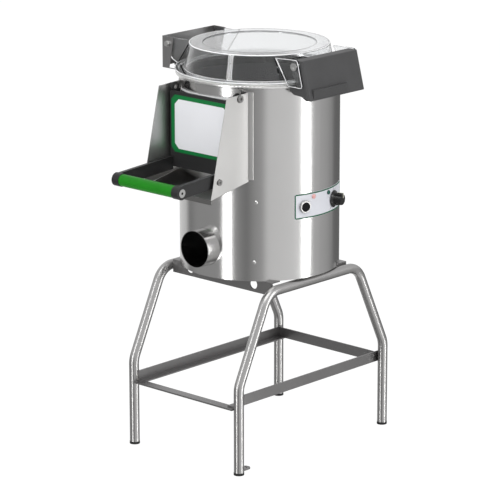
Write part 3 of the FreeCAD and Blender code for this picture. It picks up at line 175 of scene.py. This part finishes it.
def clear_plastic(name):
    """Clear polycarbonate with a faint waviness from the mould."""
    material, tree, shader = new_material(name)
    waves = noise(tree, object_coordinates(tree), 9.0, 2.0)
    shader.inputs["Base Color"].default_value = (0.95, 0.96, 0.965, 1)
    shader.inputs["Transmission Weight"].default_value = 1.0
    shader.inputs["IOR"].default_value = 1.5
    tree.links.new(spread(tree, waves, 0.015, 0.04), shader.inputs["Roughness"])
    bump(tree, shader, waves, 0.0004, 0.25)
    return material


def lens_plastic(name, color):
    """Coloured lamp lens with moulded ribs inside it."""
    material, tree, shader = new_material(name)
    ribs = noise(tree, object_coordinates(tree), 700.0, 1.0)
    tree.links.new(tint(tree, ribs, shade(color, 0.7), shade(color, 1.2)), shader.inputs["Base Color"])
    shader.inputs["Roughness"].default_value = 0.12
    shader.inputs["Coat Weight"].default_value = 0.6
    shader.inputs["Subsurface Weight"].default_value = 0.2
    shader.inputs["Subsurface Radius"].default_value = (0.003, 0.003, 0.003)
    bump(tree, shader, ribs, 0.0002, 0.4)
    return material


def grit(name, dark, light, scale):
    """Bonded abrasive: sharp coarse grains in a grey binder."""
    material, tree, shader = new_material(name)
    vector = object_coordinates(tree)
    cells = add(tree, "ShaderNodeTexVoronoi", Scale=scale)
    tree.links.new(vector, cells.inputs["Vector"])
    fine = noise(tree, vector, scale * 2.2, 4.0)
    tree.links.new(tint(tree, cells.outputs["Distance"], light, dark, 0.05, 0.6), shader.inputs["Base Color"])
    tree.links.new(spread(tree, fine, 0.6, 0.95), shader.inputs["Roughness"])
    bump(tree, shader, cells.outputs["Distance"], 0.0008, 0.9)
    return material


def printed_film(name, color, rough=0.4):
    """Printed film under a clear layer, with a slight orange peel."""
    material, tree, shader = new_material(name)
    shader.inputs["Specular IOR Level"].default_value = 0.25
    vector = object_coordinates(tree)
    peel = noise(tree, vector, 420.0, 2.0)
    tone = noise(tree, vector, 9.0, 2.0)
    tree.links.new(tint(tree, tone, shade(color, 0.97), shade(color, 1.02)), shader.inputs["Base Color"])
    tree.links.new(spread(tree, peel, rough * 0.9, rough * 1.15), shader.inputs["Roughness"])
    bump(tree, shader, peel, 0.00002, 0.3)
    return material


def polished_edge(name):
    """Milky white for lines of painted highlight, such as the edges of clear plastic that gather the light.
    """
    material, tree, shader = new_material(name)
    waves = noise(tree, object_coordinates(tree), 60.0, 2.0)
    tree.links.new(tint(tree, waves, (0.86, 0.87, 0.88), (1.0, 1.0, 1.0)), shader.inputs["Base Color"])
    tree.links.new(spread(tree, waves, 0.1, 0.2), shader.inputs["Roughness"])
    shader.inputs["Coat Weight"].default_value = 0.4
    bump(tree, shader, waves, 0.00005, 0.3)
    return material


drum_steel = brushed_metal("drum_steel", (0.60, 0.595, 0.59), 0.17)
tube_steel = brushed_metal("tube_steel", (0.43, 0.425, 0.42), 0.29, (700, 700, 20), 0.000001, 5.0)
frame_steel = brushed_metal("frame_steel", (0.27, 0.265, 0.265), 0.36, (1500, 20, 1500))
plate_steel = brushed_metal("plate_steel", (0.60, 0.595, 0.585), 0.42, (60, 60, 1900))
# chute floor steel, darker than the side plates: painted shade for the floor that lies in shadow
shaded_chute_steel = brushed_metal("shaded_chute_steel", (0.26, 0.255, 0.25), 0.30, (1900, 60, 60))
latch_steel = brushed_metal("latch_steel", (0.36, 0.355, 0.355), 0.32, (1500, 25, 1500))
# rim steel, lighter than the drum's steel: painted highlight for the bright white rim
highlight_rim_steel = brushed_metal("highlight_rim_steel", (0.82, 0.82, 0.81), 0.24, (40, 40, 1500))
bright_steel = brushed_metal("bright_steel", (0.7, 0.7, 0.69), 0.14, (500, 500, 500), 0.00001, 30.0)
cast_metal = brushed_metal("cast_metal", (0.5, 0.5, 0.5), 0.45, (300, 300, 300), 0.0001, 20.0)
gasket_rubber = moulded("gasket_rubber", (0.80, 0.80, 0.78), 0.5)
black_rubber = moulded("black_rubber", (0.018, 0.018, 0.018), 0.65, 900.0)
housing_plastic = moulded("housing_plastic", (0.052, 0.052, 0.053), 0.48, 1400.0)
door_coat = moulded("door_coat", (0.019, 0.019, 0.0195), 0.42, 1600.0)
black_plastic = moulded("black_plastic", (0.006, 0.006, 0.0065), 0.25, 1500.0, 0.00002, 0.15)
grip_plastic = moulded("grip_plastic", (0.008, 0.195, 0.005), 0.42, 1200.0, 0.00003, 0.0, 0.2)
iron_paint = moulded("iron_paint", (0.09, 0.1, 0.11), 0.5, 500.0, 0.0002)
motor_paint = moulded("motor_paint", (0.12, 0.14, 0.17), 0.42, 900.0, 0.00006)
clear_lid = clear_plastic("clear_lid")
cap_plastic = moulded("cap_plastic", (0.010, 0.010, 0.011), 0.7, 1500.0, 0.00002, 0.0, 0.08)
bezel_steel = brushed_metal("bezel_steel", (0.46, 0.455, 0.45), 0.33, (500, 500, 500), 0.00001, 30.0)
screw_steel = brushed_metal("screw_steel", (0.34, 0.335, 0.33), 0.28, (500, 500, 500), 0.00001, 30.0)
red_lens = lens_plastic("red_lens", (0.72, 0.38, 0.36))
green_lens = lens_plastic("green_lens", (0.0, 0.07, 0.05))
abrasive_grit = grit("abrasive_grit", (0.016, 0.016, 0.017), (0.12, 0.12, 0.125), 420.0)
white_film = printed_film("white_film", (0.72, 0.725, 0.75))
green_film = printed_film("green_film", (0.002, 0.155, 0.035))
panel_film = printed_film("panel_film", (0.62, 0.63, 0.67))
panel_green = printed_film("panel_green", (0.0, 0.085, 0.033))
ink_film = printed_film("ink_film", (0.03, 0.035, 0.035))
cream_film = printed_film("cream_film", (0.80, 0.80, 0.66))
# near black, for painted shade in the screw sockets and round the screw heads
painted_screw_shade = moulded("painted_screw_shade", (0.008, 0.008, 0.008), 0.7)
weld_steel = brushed_metal("weld_steel", (0.25, 0.235, 0.22), 0.4, (900, 900, 900), 0.0001, 60.0)
# milky white lines of painted highlight on the lid's rings, the ear outlines and the door plate's edge
painted_edge_highlight = polished_edge("painted_edge_highlight")
recess_shade = moulded("recess_shade", (0.10, 0.10, 0.105), 0.3)

node_materials = {
    tube_steel: ["stand_frame_left", "stand_frame_right"],
    frame_steel: ["floor_lugs", "lower_rail_left", "lower_rail_right", "rear_bar", "front_bar",
                  "front_cross_strip", "rear_cross_strip"],
    black_rubber: ["foot_plugs", "shaft_seal", "drive_belt"],
    drum_steel: ["drum_shell", "bottom_cover", "door_inner_plate", "chamber_pan", "outlet_pipe"],
    plate_steel: ["chute_side_left", "chute_side_right"],
    shaded_chute_steel: ["chute_floor"],
    highlight_rim_steel: ["rim_ring"],
    gasket_rubber: ["lid_gasket"],
    clear_lid: ["lid"],
    housing_plastic: ["hinge_housing"],
    latch_steel: ["latch"],
    door_coat: ["door_carrier", "door_arm_left", "door_arm_right"],
    green_film: ["door_label"],
    panel_film: ["control_panel"],
    grip_plastic: ["handle_grip"],
    bright_steel: ["cover_bolts", "hinge_screws", "latch_bolts", "handle_screws", "handle_bar",
                   "drum_screws", "drive_shaft", "motor_shaft", "shaft_bearings", "plate_cap"],
    screw_steel: ["door_pivot_screws", "stop_screws"],
    bezel_steel: ["start_bezel"],
    cap_plastic: ["start_cap"],
    black_plastic: ["timer_knob", "button_block", "timer_body", "pilot_holders"],
    red_lens: ["red_pilot"],
    green_lens: ["green_pilot"],
    abrasive_grit: ["abrasive_plate", "abrasive_lining"],
    cast_metal: ["plate_hub", "large_pulley", "motor_pulley"],
    iron_paint: ["bearing_housing"],
    motor_paint: ["motor", "motor_plate"],
}
for material, nodes in node_materials.items():
    for node in nodes:
        for slot in frame["nodes"][node].material_slots:
            slot.material = material


# Pieces that add detail to the frame
def finish_piece(name, mesh, material, body, smooth=False):
    """Mesh data becomes a piece with one material, which rides a body in a slot."""
    piece = bpy.data.objects.new(name, mesh)
    scene.collection.objects.link(piece)
    mesh.materials.clear()
    mesh.materials.append(material)
    for face in mesh.polygons:
        face.use_smooth = smooth
    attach(piece, body)
    return piece


def add_run(work, rings, closed=False):
    """Walls from each ring of points to the next; an open run also gets its two end faces."""
    sections = [[work.verts.new(point) for point in ring] for ring in rings]
    following = sections[1:] + sections[:1] if closed else sections[1:]
    for section, after in zip(sections, following):
        for corner in range(len(section)):
            beyond = (corner + 1) % len(section)
            work.faces.new((section[corner], section[beyond], after[beyond], after[corner]))
    if not closed:
        work.faces.new(sections[0])
        work.faces.new(sections[-1])


def take_mesh(work, name):
    """Turns the faces outward and takes the working mesh as mesh data."""
    bmesh.ops.recalc_face_normals(work, faces=work.faces)
    mesh = bpy.data.meshes.new(name)
    work.to_mesh(mesh)
    work.free()
    return mesh


def run_mesh(name, rings, closed=False):
    """Mesh data of one run of rings."""
    work = bmesh.new()
    add_run(work, rings, closed)
    return take_mesh(work, name)


def sheet_rings(outline, place, thickness, opening=None):
    """Rings of a thin sheet whose outlines lie on a surface that place(u, v, lift) describes."""
    rings = [[place(u, v, lift) for u, v in outline] for lift in (0.0, thickness)]
    if opening:
        rings += [[place(u, v, lift) for u, v in opening] for lift in (thickness, 0.0)]
    return rings


# Door label: a white field with bevelled corners inside the green border
label_low, label_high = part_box("door_label")
border_side, border_top, border_foot, field_corner = 12.0 * MM, 10.0 * MM, 9.0 * MM, 13.0 * MM
field_thickness = 0.25 * MM


def on_door(u, v, lift):
    """u across and v up in metres, lift a distance out from the label."""
    return Vector((u, label_low.y - lift, v))


left, right = label_low.x + border_side, label_high.x - border_side
foot, head = label_low.z + border_foot, label_high.z - border_top
field_outline = [
    (left + field_corner, foot), (right - field_corner, foot), (right, foot + field_corner),
    (right, head - field_corner), (right - field_corner, head), (left + field_corner, head),
    (left, head - field_corner), (left, foot + field_corner)]
finish_piece("label_field", run_mesh("label_field", sheet_rings(field_outline, on_door, field_thickness)),
             white_film, "door")

# Panel artwork: a green line round the edge and a printed timer scale
panel_low, panel_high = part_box("control_panel")
knob_angle = angle_of(joint["timer_turn"]["pos_m"])
knob_height = joint["timer_turn"]["pos_m"][2]
panel_thickness = 1.4 * MM
panel_radius = drum_radius + panel_thickness
panel_start, panel_end = -22.3, 34.0  # degrees about the drum's axis
panel_corner, corner_steps, side_steps = 4.5 * MM, 4, 40
border_inset, border_width = 0.2 * MM, 3.0 * MM
print_gap, print_thickness = 0.02 * MM, 0.12 * MM


def on_panel(u, v, lift):
    """u is an arc length in metres along the panel from the X axis, v a height."""
    turn = u / panel_radius
    reach = panel_radius + print_gap + lift
    return Vector((axis_x + reach * math.cos(turn), axis_y + reach * math.sin(turn), v))


def panel_outline(gap):
    """A rounded rectangle that runs round the panel, a gap inside its edge."""
    corner = panel_corner - gap
    low_u = math.radians(panel_start) * panel_radius + gap
    high_u = math.radians(panel_end) * panel_radius - gap
    low_v, high_v = panel_low.z + gap, panel_high.z - gap
    points = []
    for centre_u, centre_v, start in (
            (high_u - corner, low_v + corner, -90), (high_u - corner, high_v - corner, 0),
            (low_u + corner, high_v - corner, 90), (low_u + corner, low_v + corner, 180)):
        for step in range(corner_steps + 1):
            turn = math.radians(start + 90 * step / corner_steps)
            points.append((centre_u + corner * math.cos(turn), centre_v + corner * math.sin(turn)))
    full = []
    for point, after in zip(points, points[1:] + points[:1]):
        full.append(point)
        if abs(after[0] - point[0]) > panel_radius / 10:  # only the long sides follow the curve
            for step in range(1, side_steps):
                share = step / side_steps
                full.append((point[0] + (after[0] - point[0]) * share,
                             point[1] + (after[1] - point[1]) * share))
    return full


border_rings = sheet_rings(panel_outline(border_inset), on_panel, print_thickness,
                           panel_outline(border_inset + border_width))
finish_piece("panel_border", run_mesh("panel_border", border_rings, True), panel_green,
             "stand")

# Timer scale: ticks and plain numbers round the knob
knob_u = math.radians(knob_angle) * panel_radius
scale_start, scale_sweep = 230, 280  # degrees
tick_count, digit_count = 13, 5
ticks_per_digit = (tick_count - 1) // (digit_count - 1)
tick_inner, tick_outer, tick_outer_long, tick_half = 23.2 * MM, 24.8 * MM, 26.0 * MM, 0.35 * MM
digit_across, digit_up = 28.0 * MM, 27.6 * MM
digit_size, digit_depth, digit_lift = 4.2 * MM, 0.05 * MM, 0.06 * MM


def scale_turn(index, count):
    """Angle in radians of one of count evenly spaced marks."""
    return math.radians(scale_start - scale_sweep * index / (count - 1))


ticks = bmesh.new()
for index in range(tick_count):
    turn = scale_turn(index, tick_count)
    outer = tick_outer_long if index % ticks_per_digit == 0 else tick_outer
    across = (-math.sin(turn) * tick_half, math.cos(turn) * tick_half)
    corners = [(knob_u + reach * math.cos(turn) + across[0] * sign,
                knob_height + reach * math.sin(turn) + across[1] * sign)
               for reach, sign in ((tick_inner, -1), (outer, -1), (outer, 1), (tick_inner, 1))]
    add_run(ticks, sheet_rings(corners, on_panel, print_thickness))
finish_piece("timer_scale", take_mesh(ticks, "timer_scale"), ink_film, "stand")

for index in range(digit_count):
    turn = scale_turn(index, digit_count)
    text = bpy.data.curves.new("timer_digit", "FONT")
    text.body = str(index)
    text.size = digit_size
    text.align_x = "CENTER"
    text.align_y = "CENTER"
    text.extrude = digit_depth
    digit = bpy.data.objects.new("timer_digit_%d" % index, text)
    scene.collection.objects.link(digit)
    u = knob_u + digit_across * math.cos(turn)
    v = knob_height + digit_up * math.sin(turn)
    digit.matrix_world = (Matrix.Translation(on_panel(u, v, digit_lift))
                          @ Matrix.Rotation(u / panel_radius, 4, "Z")
                          @ Matrix.Rotation(math.pi / 2, 4, "Z") @ Matrix.Rotation(math.pi / 2, 4, "X"))
    text.materials.append(ink_film)
    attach(digit, "stand")


def line_piece(name, points, radius, material, body, closed=False, swell=None):
    """A line with a round section, taken as a mesh; swell gives the section's share at each point."""
    curve = bpy.data.curves.new(name, "CURVE")
    curve.dimensions = "3D"
    curve.bevel_depth = radius
    curve.bevel_resolution = 3
    spline = curve.splines.new("POLY")
    spline.points.add(len(points) - 1)
    for point, place in zip(spline.points, points):
        point.co = (*place, 1)
    spline.use_cyclic_u = closed
    if swell:
        for index, point in enumerate(spline.points):
            point.radius = swell(index)
    drawn = bpy.data.objects.new(name + "_path", curve)
    mesh = bpy.data.meshes.new_from_object(drawn)
    bpy.data.objects.remove(drawn)
    bpy.data.curves.remove(curve)
    return finish_piece(name, mesh, material, body, True)


def ring_piece(name, centre, axis, reach, radius, material, body, steps=96):
    """A thin ring about an axis."""
    axis = Vector(axis).normalized()
    side = axis.orthogonal().normalized()
    other = axis.cross(side)
    points = []
    for step in range(steps):
        turn = 2 * math.pi * step / steps
        points.append(Vector(centre) + side * reach * math.cos(turn) + other * reach * math.sin(turn))
    return line_piece(name, points, radius, material, body, True)


# Lid: milky rings of painted highlight where the moulding turns, and a grey ring of painted shade in the
# top's recess
lid_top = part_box("lid")[1].z
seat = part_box("lid_gasket")[1].z
crown_line, recess_line, foot_line, flange_line, ear_line = 1.7 * MM, 0.7 * MM, 0.7 * MM, 1.4 * MM, 0.75 * MM
for name, reach, height, radius, material in (
        ("lid_crown_line", 173.0 * MM, lid_top - crown_line, crown_line, painted_edge_highlight),
        ("lid_recess_line", 141.0 * MM, lid_top - recess_line, recess_line, recess_shade),
        ("lid_foot_line", 187.0 * MM, seat + 3.6 * MM, foot_line, painted_edge_highlight),
        ("lid_flange_line", 209.0 * MM, seat + 2.4 * MM, flange_line, painted_edge_highlight)):
    ring_piece(name, drum_axis + Vector((0, 0, height)), (0, 0, 1), reach, radius, material,
               "lid")

# The clear ears by the hinge, outlined with lines of painted highlight: millimetres out from the drum's axis
# and up from the lid's top
ear_outline = [(150.0, -6.0), (212.0, -3.2), (217.0, -3.6), (221.2, -8.0), (235.5, -64.0),
               (234.5, -68.0), (230.0, -69.5), (192.0, -69.5)]
screw_proud = 3.7 * MM
ear_face = max(abs(corner.y - axis_y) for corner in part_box("hinge_screws")) - screw_proud
for side, label in ((-1, "front"), (1, "rear")):
    points = [Vector((axis_x + across * MM, axis_y + side * ear_face, lid_top + rise * MM))
              for across, rise in ear_outline]
    line_piece("ear_line_" + label, points, ear_line, painted_edge_highlight, "lid", True)

# Door: folded edge on top of the inner plate, coloured milky white as a painted highlight
plate_inner, plate_outer, plate_half_width, plate_steps = 202.6 * MM, 204.3 * MM, 98.0 * MM, 24
plate_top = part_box("door_inner_plate")[1].z
edge_section = [(plate_inner, plate_top - 2.0 * MM), (plate_outer, plate_top - 2.0 * MM),
                (plate_outer, plate_top + 3.0 * MM), (plate_inner, plate_top + 3.0 * MM)]
half_turn = math.asin(plate_half_width / plate_outer)
edge_rings = []
for step in range(plate_steps + 1):
    turn = half_turn * (2 * step / plate_steps - 1)
    edge_rings.append([Vector((axis_x + reach * math.sin(turn), axis_y - reach * math.cos(turn), height))
                       for reach, height in edge_section])
finish_piece("door_plate_edge", run_mesh("door_plate_edge", edge_rings), painted_edge_highlight, "door")

# Knob: a cream pointer on the rib and the face
outward = radial(knob_angle)
sideways = Vector((-outward.y, outward.x, 0))
knob_front, rib_start, rib_top = 227.4 * MM, 210.0 * MM, 16.5 * MM
pointer_half, pointer_foot, pointer_rounding = 1.1 * MM, 4.0 * MM, 0.12 * MM
pointer_sunk, pointer_proud = 0.2 * MM, 0.25 * MM


def by_knob(reach, across, above):
    """A point by its reach from the drum's axis, and its place beside and above the knob's axis."""
    return drum_axis + outward * reach + sideways * across + Vector((0, 0, knob_height + above))


def bevelled_block(name, corners, material, body, rounding):
    """A small block given by eight corners, in the order of a nested loop, with its edges rounded."""
    work = bmesh.new()
    add_run(work, [[corners[index] for index in (0, 1, 3, 2)], [corners[index] for index in (4, 5, 7, 6)]])
    bmesh.ops.recalc_face_normals(work, faces=work.faces)
    bmesh.ops.bevel(work, geom=work.edges[:], offset=rounding, segments=2, affect="EDGES")
    return finish_piece(name, take_mesh(work, name), material, body)


for name, reaches, heights in (
        ("knob_pointer_face", (knob_front - pointer_sunk, knob_front + pointer_proud),
         (pointer_foot, rib_top - 0.6 * MM)),
        ("knob_pointer_top", (rib_start, knob_front - 0.4 * MM),
         (rib_top - pointer_sunk, rib_top + pointer_proud))):
    corners = [by_knob(reach, across, above) for reach in reaches
               for across in (-pointer_half, pointer_half) for above in heights]
    bevelled_block(name, corners, cream_film, "timer_dial", pointer_rounding)

# Handle: dark collars beside the grip
bar_middle = middle_of("handle_bar")
grip_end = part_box("handle_grip")[1].x - axis_x
collar_inner, collar_outer, collar_chamfer = 15.05 * MM, 16.4 * MM, 0.5 * MM
collar_start, collar_end, collar_steps = 88.5 * MM, grip_end + 0.9 * MM, 48
collar_section = [(collar_start, collar_inner), (collar_start, collar_outer - collar_chamfer),
                  (collar_start + collar_chamfer, collar_outer), (collar_end, collar_outer),
                  (collar_end, collar_inner)]
for side, label in ((-1, "left"), (1, "right")):
    rings = []
    for step in range(collar_steps):
        turn = 2 * math.pi * step / collar_steps
        rings.append([Vector((axis_x + side * x, bar_middle.y + reach * math.cos(turn),
                              bar_middle.z + reach * math.sin(turn))) for x, reach in collar_section])
    name = "handle_collar_" + label
    finish_piece(name, run_mesh(name, rings, True), door_coat, "door")

# Rear bar: tabs that close it against the side rails
bar_low, bar_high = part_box("rear_bar")
rail_low, rail_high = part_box("lower_rail_right")
web_thickness, tab_inset, tab_drop, tab_rounding = 3.0 * MM, 0.3 * MM, 0.1 * MM, 0.25 * MM
for label, bar_end, rail_face in (
        ("right", bar_high.x, rail_high.x - web_thickness),
        ("left", bar_low.x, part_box("lower_rail_left")[0].x + web_thickness)):
    corners = [Vector((x, y, z)) for x in (bar_end, rail_face)
               for y in (bar_low.y + tab_inset, bar_high.y - tab_inset)
               for z in (rail_low.z + web_thickness, bar_high.z - tab_drop)]
    bevelled_block("rear_bar_tab_" + label, corners, frame_steel, "stand", tab_rounding)

# Screws: painted shade as dark discs in the sockets, and a fine dark ring of painted shade round each head.
# Millimetres: head and socket radius, depth of the socket's middle and of the shade ring; then its sides
recess_depth, shade_ring_gap, shade_ring_radius, shade_ring_steps = 0.8 * MM, 0.2, 0.45 * MM, 40
for node, body, head, socket, socket_depth, shade_ring_depth, sides in (
        ("door_pivot_screws", "stand", 9.0, 3.6, 2.4, 4.0, 6),
        ("stop_screws", "stand", 7.2, 2.9, 2.4, 4.0, 6),
        ("handle_screws", "door", 10.7, 3.0, 1.1, 2.6, 24)):
    low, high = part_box(node)
    middle = middle_of(node)
    for side, x, end in ((-1, low.x, "left"), (1, high.x, "right")):
        label = "%s_%s" % (node, end)
        socket_middle = Vector((x - side * socket_depth * MM, middle.y, middle.z))
        shade_ring_middle = Vector((x - side * shade_ring_depth * MM, middle.y, middle.z))
        work = bmesh.new()
        bmesh.ops.create_cone(work, cap_ends=True, segments=sides, radius1=socket * MM,
                              radius2=socket * 0.8 * MM, depth=recess_depth,
                              matrix=(Matrix.Translation(socket_middle)
                                      @ Matrix.Rotation(side * math.pi / 2, 4, "Y")))
        finish_piece(label + "_socket", take_mesh(work, label + "_socket"), painted_screw_shade, body)
        ring_piece(label + "_shade_ring", shade_ring_middle, (1, 0, 0), (head + shade_ring_gap) * MM, shade_ring_radius,
                   painted_screw_shade, body, shade_ring_steps)

# Weld beads where the rails meet the tubes
random.seed(7)
points_per_ripple, ripple_depth, ripple_scatter = 3, 0.18, 0.05


def weld_bead(name, start, end, radius):
    """A row of overlapping ripples along a seam."""
    start, end = Vector(start), Vector(end)
    length = (end - start).length
    ripples = max(4, int(length / (radius * 0.9)))
    steps = ripples * points_per_ripple
    points = [start.lerp(end, step / steps) for step in range(steps + 1)]

    def ripple(index):
        wave = ripple_depth * math.cos(2 * math.pi * index / points_per_ripple)
        return 1 - ripple_depth + wave + random.uniform(-ripple_scatter, ripple_scatter)

    return line_piece(name, points, radius, weld_steel, "stand", False, ripple)


tube_radius, bead_radius, bead_sunk, bead_inset = 12.5 * MM, 1.3 * MM, 0.2 * MM, 1.0 * MM
leg_low, leg_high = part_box("stand_frame_right")
leg_reach = (leg_high.y - leg_low.y) / 2 - tube_radius
for side, node, toward in (("right", "stand_frame_right", -1), ("left", "stand_frame_left", 1)):
    contact = middle_of(node).x + toward * (tube_radius + bead_sunk)
    for end, direction in (("front", -1), ("rear", 1)):
        y = axis_y + direction * leg_reach
        weld_bead("weld_rail_%s_%s" % (side, end), (contact, y, rail_low.z + bead_inset),
                  (contact, y, rail_high.z - bead_inset), bead_radius)


# Stage: a pale floor, soft lamps and the camera
floor_tone, floor_rough = 0.86, 0.9
floor_glow, floor_glow_share = 1.085, 0.86


def build_floor():
    """Pale floor that keeps the shadow, shines a little to the camera and isn't mirrored in the steel."""
    bpy.ops.mesh.primitive_plane_add(size=24, location=(0, 0, 0))
    floor = bpy.context.object
    floor.name = "studio_floor"
    material, tree, shader = new_material("studio_floor")
    shader.inputs["Base Color"].default_value = (floor_tone, floor_tone, floor_tone, 1)
    shader.inputs["Roughness"].default_value = floor_rough
    output = tree.nodes["Material Output"]
    path = add(tree, "ShaderNodeLightPath")
    glow = add(tree, "ShaderNodeEmission")
    glow.inputs["Color"].default_value = (1, 1, 1, 1)
    glow.inputs["Strength"].default_value = floor_glow
    mix = add(tree, "ShaderNodeMixShader")
    either = add(tree, "ShaderNodeMath", operation="MAXIMUM")
    tree.links.new(path.outputs["Is Camera Ray"], either.inputs[0])
    tree.links.new(path.outputs["Is Transmission Ray"], either.inputs[1])
    lessened = add(tree, "ShaderNodeMath", operation="MULTIPLY")
    lessened.inputs[1].default_value = floor_glow_share
    tree.links.new(either.outputs["Value"], lessened.inputs[0])
    tree.links.new(lessened.outputs["Value"], mix.inputs["Fac"])
    tree.links.new(shader.outputs["BSDF"], mix.inputs[1])
    tree.links.new(glow.outputs["Emission"], mix.inputs[2])
    unseen = add(tree, "ShaderNodeBsdfTransparent")
    reflected = add(tree, "ShaderNodeMixShader")
    tree.links.new(path.outputs["Is Glossy Ray"], reflected.inputs["Fac"])
    tree.links.new(mix.outputs["Shader"], reflected.inputs[1])
    tree.links.new(unseen.outputs["BSDF"], reflected.inputs[2])
    tree.links.new(reflected.outputs["Shader"], output.inputs["Surface"])
    floor.data.materials.append(material)


build_floor()

# Grey levels round the horizon: degrees about the drum's axis and brightness
bands = [(-180, 0.72), (-168, 0.24), (-150, 0.36), (-118, 0.36), (-104, 0.32), (-93, 0.8), (-82, 0.36),
         (-66, 0.22), (-54, 0.38), (-44, 0.44), (-36, 0.78), (4, 0.86), (12, 1.1), (30, 0.7),
         (38, 0.58), (70, 0.42), (90, 0.18), (118, 0.14), (134, 0.8), (180, 0.72)]
ceiling_color, ceiling_share = (0.95, 0.95, 0.96, 1), 0.7
ceiling_start, ceiling_full = 0.02, 0.2


def build_world():
    """Studio surroundings: white to the camera, upright bands of grey to reflections."""
    world = bpy.data.worlds.new("studio")
    scene.world = world
    world.use_nodes = True
    tree = world.node_tree
    background = tree.nodes["Background"]
    path = add(tree, "ShaderNodeLightPath")
    source = add(tree, "ShaderNodeTexCoord")
    apart = add(tree, "ShaderNodeSeparateXYZ")
    tree.links.new(source.outputs["Generated"], apart.inputs["Vector"])
    around = add(tree, "ShaderNodeMath", operation="ARCTAN2")
    tree.links.new(apart.outputs["Y"], around.inputs[0])
    tree.links.new(apart.outputs["X"], around.inputs[1])
    share = add(tree, "ShaderNodeMapRange")
    share.inputs["From Min"].default_value = -math.pi
    share.inputs["From Max"].default_value = math.pi
    tree.links.new(around.outputs["Value"], share.inputs["Value"])
    ramp = add(tree, "ShaderNodeValToRGB")
    elements = ramp.color_ramp.elements
    elements[0].position = 0
    elements[1].position = 1
    for angle, level in bands[1:-1]:
        elements.new((angle + 180) / 360)
    for element, (angle, level) in zip(sorted(elements, key=lambda e: e.position), bands):
        element.color = (level, level, level, 1)
    tree.links.new(share.outputs["Result"], ramp.inputs["Fac"])
    mix = add(tree, "ShaderNodeMix", data_type="RGBA")
    seen = add(tree, "ShaderNodeMath", operation="MAXIMUM")
    tree.links.new(path.outputs["Is Camera Ray"], seen.inputs[0])
    tree.links.new(path.outputs["Is Transmission Ray"], seen.inputs[1])
    tree.links.new(seen.outputs["Value"], mix.inputs["Factor"])
    raised = add(tree, "ShaderNodeMapRange")
    raised.inputs["From Min"].default_value = ceiling_start
    raised.inputs["From Max"].default_value = ceiling_full
    raised.inputs["To Max"].default_value = ceiling_share
    tree.links.new(apart.outputs["Z"], raised.inputs["Value"])
    ceiling = add(tree, "ShaderNodeMix", data_type="RGBA")
    tree.links.new(raised.outputs["Result"], ceiling.inputs["Factor"])
    tree.links.new(ramp.outputs["Color"], ceiling.inputs["A"])
    ceiling.inputs["B"].default_value = ceiling_color
    tree.links.new(ceiling.outputs["Result"], mix.inputs["A"])
    mix.inputs["B"].default_value = (1, 1, 1, 1)
    tree.links.new(mix.outputs["Result"], background.inputs["Color"])
    background.inputs["Strength"].default_value = 1.0


build_world()


lamp_aim_height = 0.6


def soft_lamp(name, angle, distance, height, width, tall, power):
    """A soft box that faces the drum from an angle in degrees; lengths in metres, power in watts."""
    lamp = bpy.data.lights.new(name, "AREA")
    lamp.shape = "RECTANGLE"
    lamp.size = width
    lamp.size_y = tall
    lamp.energy = power
    item = bpy.data.objects.new(name, lamp)
    scene.collection.objects.link(item)
    item.location = drum_axis + radial(angle) * distance + Vector((0, 0, height))
    aim = drum_axis + Vector((0, 0, lamp_aim_height)) - item.location
    item.rotation_euler = aim.to_track_quat("-Z", "Y").to_euler()


soft_lamp("front_strip", -93.5, 3.2, 0.4, 0.50, 3.6, 34)
soft_lamp("side_strip", 21.0, 3.2, 0.4, 0.56, 3.6, 38)
soft_lamp("top_fill", -60, 1.6, 3.4, 2.6, 2.6, 40)

# Camera: the photograph's viewpoint for a square frame
frame_pixels = 500.0
focal_pixels = 2981.7
centre_pixel = (259.55, 248.98)
view_turn, view_pitch, view_distance = math.radians(42.49), math.radians(15.0), 7.489
target_height = 0.4863
target = drum_axis + Vector((0, 0, target_height))
back = Vector((math.sin(view_turn) * math.cos(view_pitch), -math.cos(view_turn) * math.cos(view_pitch),
               math.sin(view_pitch)))
camera_data = bpy.data.cameras.new("camera")
camera = bpy.data.objects.new("camera", camera_data)
scene.collection.objects.link(camera)
camera_data.sensor_width = 36.0
camera_data.lens = focal_pixels / frame_pixels * camera_data.sensor_width
camera_data.shift_x = (frame_pixels / 2 - centre_pixel[0]) / frame_pixels
camera_data.shift_y = (centre_pixel[1] - frame_pixels / 2) / frame_pixels
camera.location = target + back * view_distance
camera.rotation_euler = (-back).to_track_quat("-Z", "Y").to_euler()
scene.camera = camera
scene.view_settings.view_transform = "Standard"
